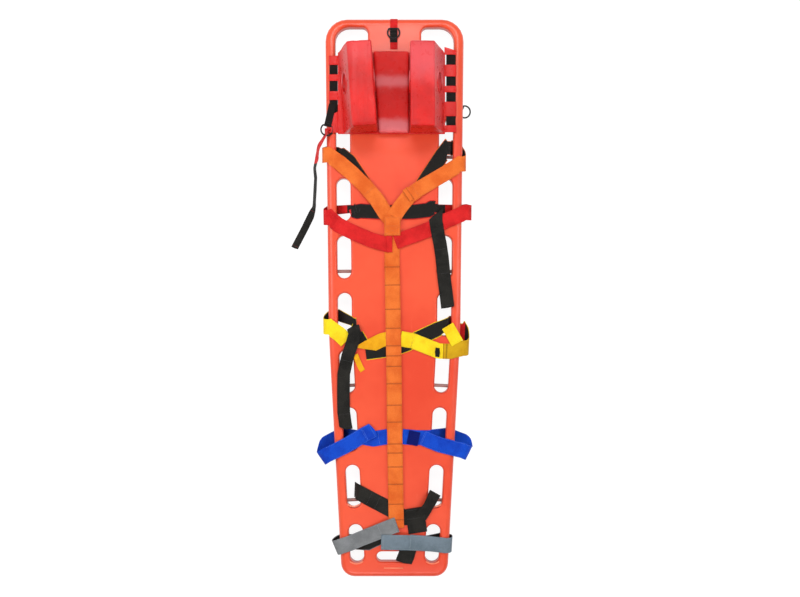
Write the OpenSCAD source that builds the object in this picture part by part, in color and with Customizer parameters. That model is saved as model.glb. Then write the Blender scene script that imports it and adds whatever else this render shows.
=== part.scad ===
// A moulded spine board lying on the floor, patient side up: +Y towards the head end, +X to the patient's
// left, +Z up. The origin is the middle of the flat underside. A head immobiliser with two lift-off
// blocks, a webbing harness wrapped round the side rails and three free rings are fitted to it.

/* [Board] */
// Overall length of the board
board_len = 1840; // [1800:5:1880]
// Width of the board near the head end
head_w = 457; // [450:1:466]
// Width of the board where its sides start to taper
bend_w = 437; // [432:1:442]
// Width of the board near the foot end
foot_w = 354; // [348:1:360]
// Distance of that bend from the middle, towards the foot end
bend_back = 118; // [90:2:140]
// Height of the board's top face over the floor
top_z = 64; // [60:1:68]
// Height of the moulded body's underside over the floor
lift = 20; // [16:1:23]
// Corner radius of the head end
head_r = 72; // [64:1:78]
// Corner radius of the foot end
foot_r = 45; // [40:1:52]
// Rounding of the outer top edge
edge_top = 18; // [14:1:20]
// Rounding of the outer bottom edge
edge_bottom = 14; // [10:1:16]
// Depth of the shallow hollow that the patient lies in
dish_depth = 4; // [2:0.5:5]
// Half width of that hollow where it is deepest
dish_half = 126; // [100:2:128]
// Width of one runner under the board
runner_w = 34; // [26:1:38]
// Distance of the side runners from the middle
runner_x = 74; // [68:1:75]

/* [Handholds] */
// Width of the side rails outside the handholds
rail_w = 32; // [30:1:34]
// Width of a handhold
hold_w = 46; // [42:1:47]
// Length of a handhold
hold_len = 140; // [120:2:146]
// Distance from one handhold to the next
hold_pitch = 189; // [186:1:190]
// Distance from the middle to the first handhold's centre
hold_first = 513; // [508:1:518]
// Rounding of the handholds' rims
rim_r = 10; // [7:0.5:11]
// Width of the head end's carrying bar
bar_w = 28; // [26:1:32]
// Width of the solid tongue between the two head openings
tongue_w = 176; // [168:2:184]
// Width of the carrying slot in the foot end
foot_slot_w = 118; // [100:2:122]
// Height of that slot along the board
foot_slot_h = 34; // [28:1:36]
// Distance of that slot's centre from the foot end
foot_slot_back = 67; // [64:1:72]

/* [Clip pins] */
// Diameter of the strap clip pins
pin_d = 11; // [9:0.5:13]
// Depth that each pin reaches into the board
pin_seat = 6; // [4:0.5:8]
// Distance of a pin from its handhold's centre, towards the foot end
pin_off = 47; // [42:1:50]

/* [Head immobiliser] */
// Thickness of the base plate
base_t = 10; // [8:0.5:12]
// Thickness of the side flaps
flap_t = 3; // [2:0.5:4]
// Length of the base plate along the board
base_len = 268; // [262:1:272]
// Distance of the base plate's centre from the middle of the board
base_y = 672; // [668:1:676]
// Height of a head block over its fastener
block_h = 147; // [130:1:160]
// Length of a head block
block_len = 266; // [256:1:268]
// Width of a head block at its foot
block_w = 113; // [108:1:114]
// Width of a head block at its top
block_top_w = 73; // [66:1:78]
// Lean of a head block's inner side over its height
block_lean = 3; // [0:0.5:6]
// Diameter of the ear port
ear_d = 66; // [50:1:76]
// Height of the ear port's centre over the block's foot
ear_z = 74; // [66:1:80]
// Thickness of the hook and loop fastener under a block
hook_t = 3; // [2:0.5:4]
// Thickness of the head pad
pad_t = 22; // [16:1:28]
// Turn of the left block as it stands, in degrees
left_turn = 4; // [2:0.5:4.5]

/* [Rings] */
// Radius of a ring's round part, to the middle of its wire
ring_r = 19.5; // [19:0.1:20]
// Diameter of the ring's wire
wire_d = 3.4; // [3:0.1:3.6]
// Length of the ring's straight bar
bar_len = 30; // [29:0.5:31]

/* [Webbing] */
// Width of the harness webbing
web_w = 50; // [46:1:51]
// Thickness of the harness webbing
web_t = 2; // [1.6:0.1:2.2]
// Width of the head straps and ring tabs
small_w = 24; // [20:1:24]
// Thickness of the head straps and ring tabs
small_t = 1.2; // [1:0.1:1.4]

/* [Hidden] */

gap = 0.3;
head_y = board_len / 2 - head_r;
foot_y = -board_len / 2 + foot_r;
bend_y = -bend_back;
side_head = -atan((head_w - bend_w) / 2 / (head_y - bend_y));
side_foot = -atan((bend_w - foot_w) / 2 / (bend_y - foot_y));
bend_r = 3000;
rim_cut = 70;
hold_count = 8;
hold_last_len = hold_len - 13;
layer = web_t + 0.5;
wrap = web_t / 2 + 1.8;
base_z = top_z + 0.2;
block_z = base_z + base_t + gap;
board_orange = [0.95, 0.32, 0.2];
coated_red = [0.85, 0.1, 0.1];
web_orange = [0.95, 0.5, 0.2];
web_red = [0.85, 0.12, 0.15];
web_yellow = [0.98, 0.8, 0.1];
web_blue = [0.08, 0.25, 0.8];
web_grey = [0.5, 0.52, 0.54];
tape_black = [0.1, 0.1, 0.11];
wire_black = [0.15, 0.15, 0.16];

// Half the board's width at y
function half_w(y) = y > bend_y
  ? bend_w / 2 + (head_w - bend_w) / 2 * (y - bend_y) / (head_y - bend_y)
  : bend_w / 2 - (bend_w - foot_w) / 2 * (bend_y - y) / (bend_y - foot_y);
function side_angle(y) = y > bend_y ? side_head : side_foot;
// Middle of the handhold column at y, to the right
function hold_x(y) = half_w(y) - rail_w - hold_w / 2;
function hold_y(i) = hold_first - i * hold_pitch;
function length_of(i) = i == hold_count - 1 ? hold_last_len : hold_len;
// Points of an outline made of arcs [x, y, radius, from, to], moved outwards by d
function arc_path(arcs, d, n) = [for (a = arcs) for (k = [0:n]) let (t = a[3] + (a[4] - a[3]) * k / n)
  [a[0] + (a[2] + d) * cos(t), a[1] + (a[2] + d) * sin(t)]];
function mirrored(arcs) = [for (i = [len(arcs) - 1:-1:0]) let (a = arcs[i])
  [-a[0], a[1], a[2], 180 - a[4], 180 - a[3]]];
function unit(v) = v / norm(v);

board_arcs_right = [
  [foot_w / 2 - foot_r, foot_y, foot_r, -90, side_foot],
  [bend_w / 2 - bend_r, bend_y + bend_r * sin(-(side_foot + side_head) / 2), bend_r, side_foot, side_head],
  [head_w / 2 - head_r, head_y, head_r, side_head, 90]];
board_arcs = concat(board_arcs_right, mirrored(board_arcs_right));
body_levels = concat(
  [for (a = [-90:18:0]) [lift + edge_bottom * (1 + sin(a)), edge_bottom * (cos(a) - 1)]],
  [for (a = [0:18:90]) [top_z - edge_top * (1 - sin(a)), edge_top * (cos(a) - 1)]]);
low_centre = lift + rim_r * sin(rim_cut);
high_centre = top_z - rim_r * sin(rim_cut);
opening_levels = concat(
  [[lift - 5, rim_r * (1 - cos(rim_cut))]],
  [for (a = [rim_cut:-rim_cut / 2:0]) [low_centre - rim_r * sin(a), rim_r * (1 - cos(a))]],
  [for (a = [0:rim_cut / 2:rim_cut]) [high_centre + rim_r * sin(a), rim_r * (1 - cos(a))]],
  [[top_z + 5, rim_r * (1 - cos(rim_cut))]]);

// A convex solid through rings of arcs, one ring for each [height, outward move]
module loft(arcs, levels, n) {
  ring = len(arcs) * (n + 1);
  last = len(levels) - 1;
  polyhedron(
    points = [for (l = levels) for (p = arc_path(arcs, l[1], n)) [p.x, p.y, l[0]]],
    faces = concat([[for (i = [0:ring - 1]) i]],
      [for (j = [0:last - 1]) for (i = [0:ring - 1]) let (k = (i + 1) % ring)
        [j * ring + i, (j + 1) * ring + i, (j + 1) * ring + k, j * ring + k]],
      [[for (i = [ring - 1:-1:0]) last * ring + i]]));
}

// A half profile turned at both ends and drawn out straight between them, along Y
module stretched(length) {
  for (turn = [0, 180]) rotate([0, 0, turn]) translate([0, length / 2, 0])
    rotate_extrude(angle = 180) children();
  rotate([90, 0, 0]) linear_extrude(length, center = true) {
    children();
    mirror([1, 0]) children();
  }
}

// Half the section of a hole of half width r whose rims are rolled over
module hole_half(r) {
  difference() {
    translate([0, lift - 5]) square([r + rim_r, top_z - lift + 10]);
    translate([r, low_centre]) square([rim_r + 1, high_centre - low_centre]);
    for (z = [low_centre, high_centre]) translate([r + rim_r, z]) circle(rim_r, $fn = 64);
  }
}

module runner_half() {
  chamfer = 4;
  polygon([[0, 0], [runner_w / 2 - chamfer, 0], [runner_w / 2, chamfer], [runner_w / 2, lift + 3],
    [0, lift + 3]]);
}

// One of the two large openings beside the tongue at the head end
module head_opening() {
  wall = half_w(760) - rail_w;
  low = hold_y(-1) - hold_len / 2;
  high = board_len / 2 - bar_w;
  inner = wall - hold_w;
  end_r = hold_w / 2;
  shelf = high - 80;
  loft([[wall - end_r, low + end_r, end_r, -90, 0], [wall - 12, high - 50, 12, 0, 90],
    [inner + 12, high - 50, 12, 90, 180], [inner + end_r, low + end_r, end_r, 180, 270]],
    opening_levels, 4);
  loft([[wall - 12, shelf + 12, 12, -90, 0], [wall - 46, high - 46, 46, 0, 90],
    [tongue_w / 2 + 20, high - 20, 20, 90, 180], [tongue_w / 2 + 20, shelf + 20, 20, 180, 270]],
    opening_levels, 5);
}

// Places its children at each handhold of both sides, turned along the board's edge
module at_handholds(list) {
  for (i = list, side = [-1, 1]) translate([side * hold_x(hold_y(i)), hold_y(i), 0])
    rotate([0, 0, side * side_angle(hold_y(i))]) {
      $length = length_of(i);
      children();
    }
}

module pin_rod(d, length) {
  translate([0, -pin_off, (top_z + lift) / 2]) rotate([0, 90, 0])
    cylinder(d = d, h = length, center = true, $fn = 32);
}

// The hollow is the lower edge of a long cylinder that rises towards the foot end
module dish() {
  dish_r = (dish_half * dish_half + dish_depth * dish_depth) / (2 * dish_depth);
  dish_head = base_y - base_len / 2 - 40;
  dish_foot = foot_y + 60;
  rise = atan(dish_depth / (dish_head - dish_foot));
  intersection() {
    translate([0, dish_head, top_z - dish_depth + dish_r]) rotate([90 - rise, 0, 0])
      cylinder(r = dish_r, h = 2 * (dish_head - dish_foot), center = true, $fn = 360);
    rotate([90, 0, 90]) linear_extrude(2 * dish_half + 20, center = true)
      polygon([[dish_foot, top_z + 2], [dish_foot + 20, top_z - 8], [dish_head - 60, top_z - 8],
        [dish_head, top_z + 2]]);
  }
}

module board_shell() {
  runner_head = 700;
  runner_foot = foot_y + 95;
  color(board_orange) difference() {
    union() {
      loft(board_arcs, body_levels, 6);
      for (x = [-runner_x, 0, runner_x]) translate([x, (runner_head + runner_foot) / 2, 0])
        stretched(runner_head - runner_foot - runner_w) runner_half();
    }
    dish();
    at_handholds([0:hold_count - 1]) stretched($length - hold_w) hole_half(hold_w / 2);
    translate([0, -board_len / 2 + foot_slot_back, 0]) rotate([0, 0, 90])
      stretched(foot_slot_w - foot_slot_h) hole_half(foot_slot_h / 2);
    head_opening();
    mirror([1, 0, 0]) head_opening();
    at_handholds([0:2:hold_count - 1]) pin_rod(pin_d + gap, hold_w + 2 * pin_seat + gap);
  }
}

module clip_pins() {
  color([0.55, 0.4, 0.42]) at_handholds([0:2:hold_count - 1]) pin_rod(pin_d, hold_w + 2 * pin_seat);
}

// Head immobiliser
base_left = -186;
base_right = 166;
flap_left = -216;
flap_right = 203;
windows_left = [[750, 31], [696, 34], [632, 36]];
windows_right = [[785, 30], [712, 31], [660, 31], [582, 30]];

module immobiliser_base() {
  corner = 6;
  low = base_y - base_len / 2;
  high = base_y + base_len / 2;
  color(coated_red) {
    translate([0, 0, base_z]) linear_extrude(base_t)
      polygon(arc_path([[base_right - corner, low + corner, corner, -90, 0],
        [base_right - corner, high - corner, corner, 0, 90],
        [base_left + corner, high - corner, corner, 90, 180],
        [base_left + corner, low + corner, corner, 180, 270]], 0, 4));
    difference() {
      translate([flap_left, low + 4, base_z + small_t + 2 * gap]) linear_extrude(flap_t)
        polygon([[28, 4], [flap_right - flap_left, 6], [flap_right - flap_left, base_len - 6],
          [flap_right - flap_left - 10, base_len + 6], [32, base_len - 10], [0, base_len - 10], [0, 58]]);
      for (w = windows_left) translate([flap_left - 1, w[0] - w[1] / 2, base_z - 1])
        cube([-178 - flap_left, w[1], base_t]);
      for (w = windows_right) translate([base_right, w[0] - w[1] / 2, base_z - 1])
        cube([flap_right - base_right + 1, w[1], base_t]);
    }
  }
}

module side_strip_left() {
  color(tape_black) translate([flap_left + 2, base_y - 74, base_z + gap])
    cube([base_left - flap_left - 2 - gap, 188, small_t]);
}

module side_strip_right() {
  color(tape_black) translate([base_right + 4, base_y - 118, base_z + gap]) cube([31, 238, small_t]);
}

block_right_x = 105.5;
block_left_x = -119;

// Section of a head block across the board: its outer side leans in, its inner side is nearly upright
module block_section() {
  half = block_w / 2;
  soft = 6;
  polygon([[-half, 0], [half, 0], [half, 12], [half - block_w + block_lean + block_top_w + soft, block_h - soft],
    [half - block_w + block_lean + block_top_w - soft, block_h], [-half + block_lean + soft, block_h],
    [-half + block_lean, block_h - soft]]);
}

module head_block() {
  translate([0, 0, hook_t]) difference() {
    rotate([90, 0, 0]) linear_extrude(block_len, center = true) block_section();
    translate([0, 20, ear_z]) rotate([0, 90, 0])
      cylinder(d = ear_d, h = 2 * block_w, center = true, $fn = 64);
  }
}

module block_fastener() {
  margin = 8;
  translate([-block_w / 2 + margin, -block_len / 2 + margin, gap / 2])
    cube([block_w - 2 * margin, block_len - 2 * margin, hook_t - gap]);
}

module at_right_block() {
  translate([block_right_x, base_y, block_z]) children();
}

module at_left_block() {
  translate([block_left_x, base_y, block_z]) rotate([0, 0, left_turn]) mirror([1, 0, 0]) children();
}

module head_block_left() { color(coated_red) at_left_block() head_block(); }
module head_block_right() { color(coated_red) at_right_block() head_block(); }
module block_fastener_left() { color(tape_black) at_left_block() block_fastener(); }
module block_fastener_right() { color(tape_black) at_right_block() block_fastener(); }

// The pad fills the trough between the blocks, so its left side follows the turned block
module head_pad() {
  clear = 2;
  right = block_right_x - block_w / 2 - clear;
  left_mid = block_left_x + block_w / 2 / cos(left_turn) + clear;
  slope = tan(left_turn) * block_len / 2;
  color(coated_red) translate([0, base_y, base_z + base_t + gap]) {
    linear_extrude(pad_t - 4)
      polygon([[left_mid + slope, -block_len / 2], [right, -block_len / 2], [right, block_len / 2],
        [left_mid - slope, block_len / 2]]);
    translate([0, 0, pad_t - 4]) linear_extrude(4)
      polygon([[left_mid + slope + 5, -block_len / 2 + 5], [right - 5, -block_len / 2 + 5],
        [right - 5, block_len / 2 - 5], [left_mid - slope + 5, block_len / 2 - 5]]);
  }
}

// Webbing. A band runs through stations [x, y, z, tilt]: its face points along +Z, turned about Y by tilt,
// towards +X where side is 1 and towards -X where side is -1. A station with a fifth number, the share of
// the band's width there, lies on a side rail or a handhold's rim, and the band is cut parallel to the rail.
function facing(s, side) = [side * sin(s[3]), 0, cos(s[3])];
function place(s) = [s[0], s[1], s[2]];
function heading(route, i) = unit(place(route[min(i + 1, len(route) - 1)]) - place(route[max(i - 1, 0)]));
function band_ring(route, i, side, w, t) =
  let (along = heading(route, i), square_on = unit(cross(along, facing(route[i], side))),
    on_rim = len(route[i]) > 4, lean = -side * tan(side_angle(route[i].y)),
    across = on_rim ? unit([lean, 1, 0]) * sign(square_on.y) : square_on,
    out = on_rim ? facing(route[i], side) : cross(across, along), p = place(route[i]),
    half = on_rim ? w * route[i][4] / 2 / max(abs(square_on.y), 0.6) : w / 2)
  [p - across * half - out * t / 2, p + across * half - out * t / 2,
    p + across * half + out * t / 2, p - across * half + out * t / 2];

// The band between two of the route's stations; one that starts part way along leaves a slit at its joint
module band(route, side, w, t, first = 0, last = undef) {
  final = is_undef(last) ? len(route) - 1 : last;
  rings = [for (i = [first:final]) band_ring(route, i, side, w, t)];
  start = first > 0 ? 0.96 * rings[0] + 0.04 * rings[1] : rings[0];
  n = len(rings);
  polyhedron(
    points = concat(start, [for (i = [1:n - 1]) for (p = rings[i]) p]),
    faces = concat([[3, 2, 1], [3, 1, 0]],
      [for (i = [0:n - 2]) for (k = [0:3]) let (m = (k + 1) % 4)
        each [[4 * i + k, 4 * i + m, 4 * i + 4 + m], [4 * i + k, 4 * i + 4 + m, 4 * i + 4 + k]]],
      [[4 * n - 4, 4 * n - 3, 4 * n - 2], [4 * n - 4, 4 * n - 2, 4 * n - 1]]));
}

// Height of the middle of a band that lies n layers up on the board's top face
function lay(n) = top_z + gap + web_t / 2 + n * layer;

// Stations round the right side rail: over its top at y_top, round the outside with some slack, and
// under it to y_under
function round_rail(y_top, y_under, slack, n, pinch = 1) =
  let (edge = half_w((y_top + y_under) / 2),
    high = [edge + slack - edge_top, lay(n) - wrap - edge_top],
    low = [edge + slack - edge_bottom, lift + edge_bottom],
    inner = [edge - rail_w + rim_r, lift + rim_r], total = 10)
  [for (k = [0:total])
    let (y = y_top + (y_under - y_top) * k / total)
    k < 4 ? let (a = k * 30, r = edge_top + wrap) [high.x + r * sin(a), y, high.y + r * cos(a), a, 1]
    : k < 8 ? let (a = 90 + (k - 4) * 30, r = edge_bottom + wrap) [low.x + r * sin(a), y, low.y + r * cos(a), a, 1]
    : let (a = 185 + (k - 8) * 25, r = rim_r + wrap + 0.8) [inner.x + r * sin(a), y, inner.y + r * cos(a), a, pinch]];

// Stations up through the handhold and over the panel's rim at y, coming from the rail's underside
function over_rim(y, y_end, pinch = 1) =
  let (x = half_w(y) - rail_w - hold_w - rim_r, r = rim_r + web_t / 2 + 0.5)
  [for (k = [0:3]) let (a = rim_cut - 4 - k * 23, y_k = y + (y_end - y) * k / 3)
    k < 3 ? [x + r * sin(a), y_k, high_centre + r * cos(a), 180 + a, pinch]
    : [x - 5, y_k, lay(0), 180, pinch]];

function flip(route) = [for (s = route) [for (i = [0:len(s) - 1]) i == 0 ? -s[0] : s[i]]];
function back_layer(x, y, n) = [x, y, lay(n), 180];

// Head strap, hanging from the left ring over the rail's edge and along the floor
head_red_route = [[-219.5, 557, 65.4, 0], [-222, 549, 67, 0], [-225, 541, 71, 0], [-227, 534, 71.6, 0],
  [-232, 526, 69, 0], [-240, 514, 63, 30], [-250, 500, 52, 55], [-255, 486, 36, 70], [-258, 473, 20, 80],
  [-261, 461, 14, 85], [-264, 450, 13.5, 90]];
head_black_route = [[-264, 449, 13.5, 90], [-267, 430, 13.5, 90], [-264, 400, 13.5, 90], [-266, 360, 13.5, 90],
  [-268, 320, 13.5, 90], [-270, 300, 12, 80], [-275, 288, 6, 40], [-283, 270, 1.8, 0], [-300, 235, 1.6, 0],
  [-336, 166, 1.6, 0]];

spine_route = [[-6, 238, lay(0), 0], [-7, 200, lay(0), 0], [-8, 140, lay(0), 0], [-8, 112, lay(1), 0],
  [-7, 60, lay(2), 0], [-5, -40, lay(2), 0], [-3, -160, lay(2), 0], [-1, -300, lay(2), 0], [0, -400, lay(2), 0],
  [2, -520, lay(2), 0], [4, -650, lay(2), 0], [6, -740, lay(1), 0], [7, -757, lay(1), 0]];
arm_right_route = [[-2, 266, lay(2), 0], [8, 282, lay(2), 0], [22, 302, lay(1.6), 0], [60, 350, lay(1), 0]];

shoulder_left_route = concat(
  [[-10, 254, lay(1), 0], [-30, 278, lay(1), 0], [-60, 325, lay(2), 0], [-95, 366, lay(2), 0],
    [-140, 410, lay(2), 0], [-180, 444, lay(1), 0]],
  flip(round_rail(470, 510, 11, 0)));
shoulder_left_back = flip(concat(over_rim(502, 490), [back_layer(110, 400, 0), back_layer(78, 350, 0)]));
shoulder_right_route = concat(
  [[52, 338, lay(3), 0], [64, 346, lay(3), 0], [80, 358, lay(2), 0], [115, 379, lay(1), 0], [160, 405, lay(1), 0],
    [190, 424, lay(1), 0]],
  round_rail(438, 536, 8, 0));
shoulder_right_back = concat(over_rim(502, 490), [back_layer(122, 420, 0), back_layer(88, 366, 0)]);

chest_left_route = concat(
  [[-12, 172, lay(1), 0], [-40, 180, lay(1), 0], [-75, 190, lay(1), 0], [-110, 204, lay(1), 0],
    [-150, 222, lay(1), 0], [-185, 240, lay(0), 0]],
  flip(round_rail(262, 308, 9, 0)));
chest_left_back = flip(concat(over_rim(300, 296), [back_layer(110, 286, 0), back_layer(60, 283, 0),
  back_layer(18, 282, 0)]));
chest_right_route = concat(
  [[12, 186, lay(1), 0], [40, 198, lay(1), 0], [80, 212, lay(1), 0], [125, 230, lay(1), 0], [165, 252, lay(1), 0]],
  round_rail(278, 322, 28, 1));
chest_right_back = concat(over_rim(308, 303), [back_layer(110, 289, 0), back_layer(60, 283, 0), back_layer(-14, 282, 0)]);
chest_tail_route = [[136, 276, lay(2), 0], [136, 250, lay(2), 0], [142, 215, lay(2.1), 0], [150, 175, lay(1.2), 0],
  [156, 135, lay(1), 0], [160, 95, lay(2), 0], [164, 55, lay(1), 0], [170, 10, lay(1), 0], [175, -33, lay(2), 0]];
chest_keeper_route = [[-17, 204, lay(2), 0], [-17, 150, lay(2), 0]];

waist_leg_left_route = [[-20, -134, lay(1), 0], [-45, -140, lay(1), 0], [-75, -155, lay(1), 0], [-104, -172, lay(2), 0],
  [-124, -182, lay(2), 0]];
waist_loop_left_route = concat([[-158, -142, lay(1), 0], [-180, -120, lay(1), 0]],
  flip(round_rail(-96, -56, 13, 1)));
waist_loop_left_back = flip(concat(over_rim(-72, -80, 0.9), [back_layer(128, -118, 0), back_layer(108, -152, 0)]));
waist_tail_left_route = [[-150, -135, lay(3), 0], [-152, -165, lay(3), 0], [-162, -205, lay(2), 0],
  [-168, -260, lay(1), 0], [-168, -320, lay(1), 0], [-167, -375, lay(1), 0], [-162, -410, lay(2), 0],
  [-158, -440, lay(3), 0]];
waist_flap_left_route = [[-129, -186, lay(1), 0], [-122, -204, lay(1), 0], [-112, -228, lay(0), 0],
  [-104, -240, lay(0), 0]];
waist_right_route = concat(
  [[20, -134, lay(1), 0], [60, -141, lay(1), 0], [105, -159, lay(1), 0], [146, -175, lay(1), 0],
    [180, -176, lay(0), 0]],
  round_rail(-166, -76, 24, 0, 0.85));
waist_right_back = concat(over_rim(-74, -82, 0.8), [back_layer(100, -138, 0), back_layer(60, -165, 0),
  back_layer(20, -186, 0), back_layer(-30, -196, 0), back_layer(-95, -200, 0)]);
waist_keeper_right_route = [[174, -92, lay(0), 0], [186, -112, lay(0), 0], [196, -130, lay(1), 0],
  [207, -149, lay(1), 0]];

thigh_left_route = concat(
  [[-66, -432, lay(2), 0], [-100, -450, lay(1), 0], [-140, -474, lay(1), 0], [-168, -490, lay(1), 0]],
  flip(round_rail(-520, -456, 44, 1, 0.9)));
thigh_left_back = flip(concat(over_rim(-458, -460, 0.9), [back_layer(70, -464, 0), back_layer(22, -456, 0)]));
thigh_right_route = concat(
  [[88, -460, lay(1), 0], [112, -471, lay(1), 0], [150, -488, lay(1), 0]],
  round_rail(-512, -456, 46, 1, 0.9));
thigh_right_back = concat(over_rim(-456, -458, 0.9), [back_layer(70, -460, 0), back_layer(26, -456, 0)]);

shin_left_route = concat(
  [[8, -744, lay(3), 0], [-20, -754, lay(3), 0], [-60, -771, lay(2), 0], [-110, -791, lay(1), 0],
    [-145, -806, lay(1), 0]],
  flip(round_rail(-822, -812, 13, 1)));
shin_left_back = flip(concat(over_rim(-806, -804), [back_layer(50, -790, 0)]));
shin_right_route = concat(
  [[-36, -801, lay(4), 0], [-10, -802, lay(4), 0], [40, -803, lay(3), 0], [90, -806, lay(2), 0], [125, -809, lay(1), 0]],
  round_rail(-814, -808, 6, 1));
shin_right_back = concat(over_rim(-808, -806), [back_layer(50, -803, 0)]);
foot_band_route = concat(
  [[-132, -634, 40, -60], [-124, -636, 58, -50], [-114, -642, lay(0.4), -10]],
  [[-85, -658, lay(0), 0], [-20, -692, lay(0), 0], [30, -722, lay(0), 0], [75, -724, lay(0), 0]]);
foot_block_route = [[90, -716, lay(1), 0], [68, -722, lay(1), 0], [44, -728, lay(1), 0]];
foot_tail_route = [[34, -800, lay(1), 0], [36, -830, lay(1), 0], [34, -850, lay(0), 0], [30, -876, lay(0), 0]];

// The coloured and the black part of a strap that turns over at the rim
module strap(color_name, route, back, side) {
  color(color_name) band(concat(route, back), side, web_w, web_t, 0, len(route));
}
module tape(color_name, route, back, side) {
  color(color_name) band(concat(route, back), side, web_w, web_t, len(route));
}

module spine_strap() { color(web_orange) band(spine_route, 1, web_w, web_t); }
module yoke_neck() {
  color(web_orange) translate([-7, 236, lay(3)]) cube([52, 62, web_t], center = true);
}
module yoke_arm_right() { color(web_orange) band(arm_right_route, 1, web_w, web_t); }
module shoulder_strap_left() { strap(web_orange, shoulder_left_route, shoulder_left_back, -1); }
module shoulder_tape_left() { tape(tape_black, shoulder_left_route, shoulder_left_back, -1); }
module shoulder_strap_right() { strap(web_orange, shoulder_right_route, shoulder_right_back, 1); }
module shoulder_tape_right() { tape(tape_black, shoulder_right_route, shoulder_right_back, 1); }
module chest_strap_left() { strap(web_red, chest_left_route, chest_left_back, -1); }
module chest_tape_left() { tape(tape_black, chest_left_route, chest_left_back, -1); }
module chest_strap_right() { strap(web_red, chest_right_route, chest_right_back, 1); }
module chest_tape_right() { tape(tape_black, chest_right_route, chest_right_back, 1); }
module chest_tail() { color(tape_black) band(chest_tail_route, 1, web_w - 6, web_t); }
module chest_keeper() { color(web_red) band(chest_keeper_route, 1, 20, web_t); }
module waist_leg_left() { color(web_yellow) band(waist_leg_left_route, -1, web_w - 4, web_t); }
module waist_loop_left() { strap(web_yellow, waist_loop_left_route, waist_loop_left_back, -1); }
module waist_tape_left() { tape(tape_black, waist_loop_left_route, waist_loop_left_back, -1); }
module waist_tail_left() { color(tape_black) band(waist_tail_left_route, -1, web_w - 8, web_t); }
module waist_flap_left() { color(web_yellow) band(waist_flap_left_route, -1, 18, web_t); }
module waist_strap_right() { strap(web_yellow, waist_right_route, waist_right_back, 1); }
module waist_tape_right() { tape(tape_black, waist_right_route, waist_right_back, 1); }
module waist_keeper_right() { color(web_yellow) band(waist_keeper_right_route, 1, web_w - 8, web_t); }
module thigh_strap_left() { color(web_blue) band(concat(thigh_left_route, thigh_left_back), -1, web_w, web_t); }
module thigh_strap_right() { color(web_blue) band(concat(thigh_right_route, thigh_right_back), 1, web_w, web_t); }
module thigh_patch_right() {
  color(web_blue * 0.6) translate([62, -461, lay(1)]) rotate([0, 0, -12]) cube([36, 46, web_t], center = true);
}
module shin_strap_left() { color(web_grey) band(concat(shin_left_route, shin_left_back), -1, web_w, web_t); }
module shin_strap_right() { color(web_grey) band(concat(shin_right_route, shin_right_back), 1, web_w, web_t); }
module foot_band() { color(tape_black) band(foot_band_route, 1, web_w, web_t); }
module foot_band_block() { color(tape_black) band(foot_block_route, 1, 72, web_t); }
module foot_tail() { color(tape_black) band(foot_tail_route, 1, 56, web_t); }
module head_strap_red() { color(web_red) band(head_red_route, -1, small_w, small_t); }
module head_strap_black() { color(tape_black) band(head_black_route, -1, small_w, small_t); }

// Rings. In its own frame a ring's bar lies along Y at the origin and its round part reaches along -X.
ring_reach = sqrt(ring_r * ring_r - bar_len * bar_len / 4);
bar_clear = 0.5;
loop_r = wire_d / 2 + bar_clear + small_t / 2;

module d_ring() {
  sweep = 180 - asin(bar_len / 2 / ring_r);
  color(wire_black) {
    translate([-ring_reach, 0, 0]) rotate([0, 0, 180 - sweep])
      rotate_extrude(angle = 2 * sweep) translate([ring_r, 0]) circle(d = wire_d, $fn = 24);
    rotate([90, 0, 0]) cylinder(d = wire_d, h = bar_len, center = true, $fn = 24);
    for (side = [-1, 1]) translate([0, side * bar_len / 2, 0]) sphere(d = wire_d + 0.4, $fn = 24);
  }
}

// Stations of a tab that comes along +X over the bar, turns round it and goes back under it
function tab_route(reach, under) = concat([[reach, 0, loop_r, 0]],
  [for (a = [0:30:180]) [-loop_r * sin(a), 0, loop_r * cos(a), -a]],
  [[under, 0, -loop_r, -180]]);

top_ring_at = [-3, 884, top_z + gap + 2 * small_t + gap + loop_r];
ring_left_inset = 27.5;
ring_left_at = [-219.5, base_y - base_len / 2 + ring_left_inset, top_z + 2 * gap + loop_r + small_t / 2];
ring_left_turn = 77;
ring_right_at = [224, 627, 14.5];
ring_right_turn = 154;
ring_right_droop = 20;

module top_ring() { translate(top_ring_at) rotate([0, 0, 90]) d_ring(); }
module ring_left() { translate(ring_left_at) rotate([0, 0, ring_left_turn]) d_ring(); }
module ring_right() {
  translate(ring_right_at) rotate([0, 0, ring_right_turn]) rotate([0, -ring_right_droop, 0]) d_ring();
}

module top_ring_tab() {
  color(tape_black) translate(top_ring_at) rotate([0, 0, 90])
    band(concat([[-44, 0, -loop_r, 180]],
      [for (a = [180:-30:0]) [loop_r * sin(a), 0, loop_r * cos(a), a]], [[-9, 0, loop_r, 0]]),
      1, small_w, small_t);
}

module ring_tab_left() {
  color(tape_black) translate(ring_left_at) rotate([0, 0, ring_left_turn])
    band(tab_route(72, 9), 1, small_w, small_t);
}

module ring_tab_right() {
  color(tape_black) translate(ring_right_at) rotate([0, 0, ring_right_turn])
    band(concat([[46, 0, 49.7, 90], [46, 0, 30, 90], [45, 0, 14, 80], [41, 0, 6, 45], [34, 0, 3.4, 10]],
      tab_route(20, 14)), 1, small_w, small_t);
}

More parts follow.
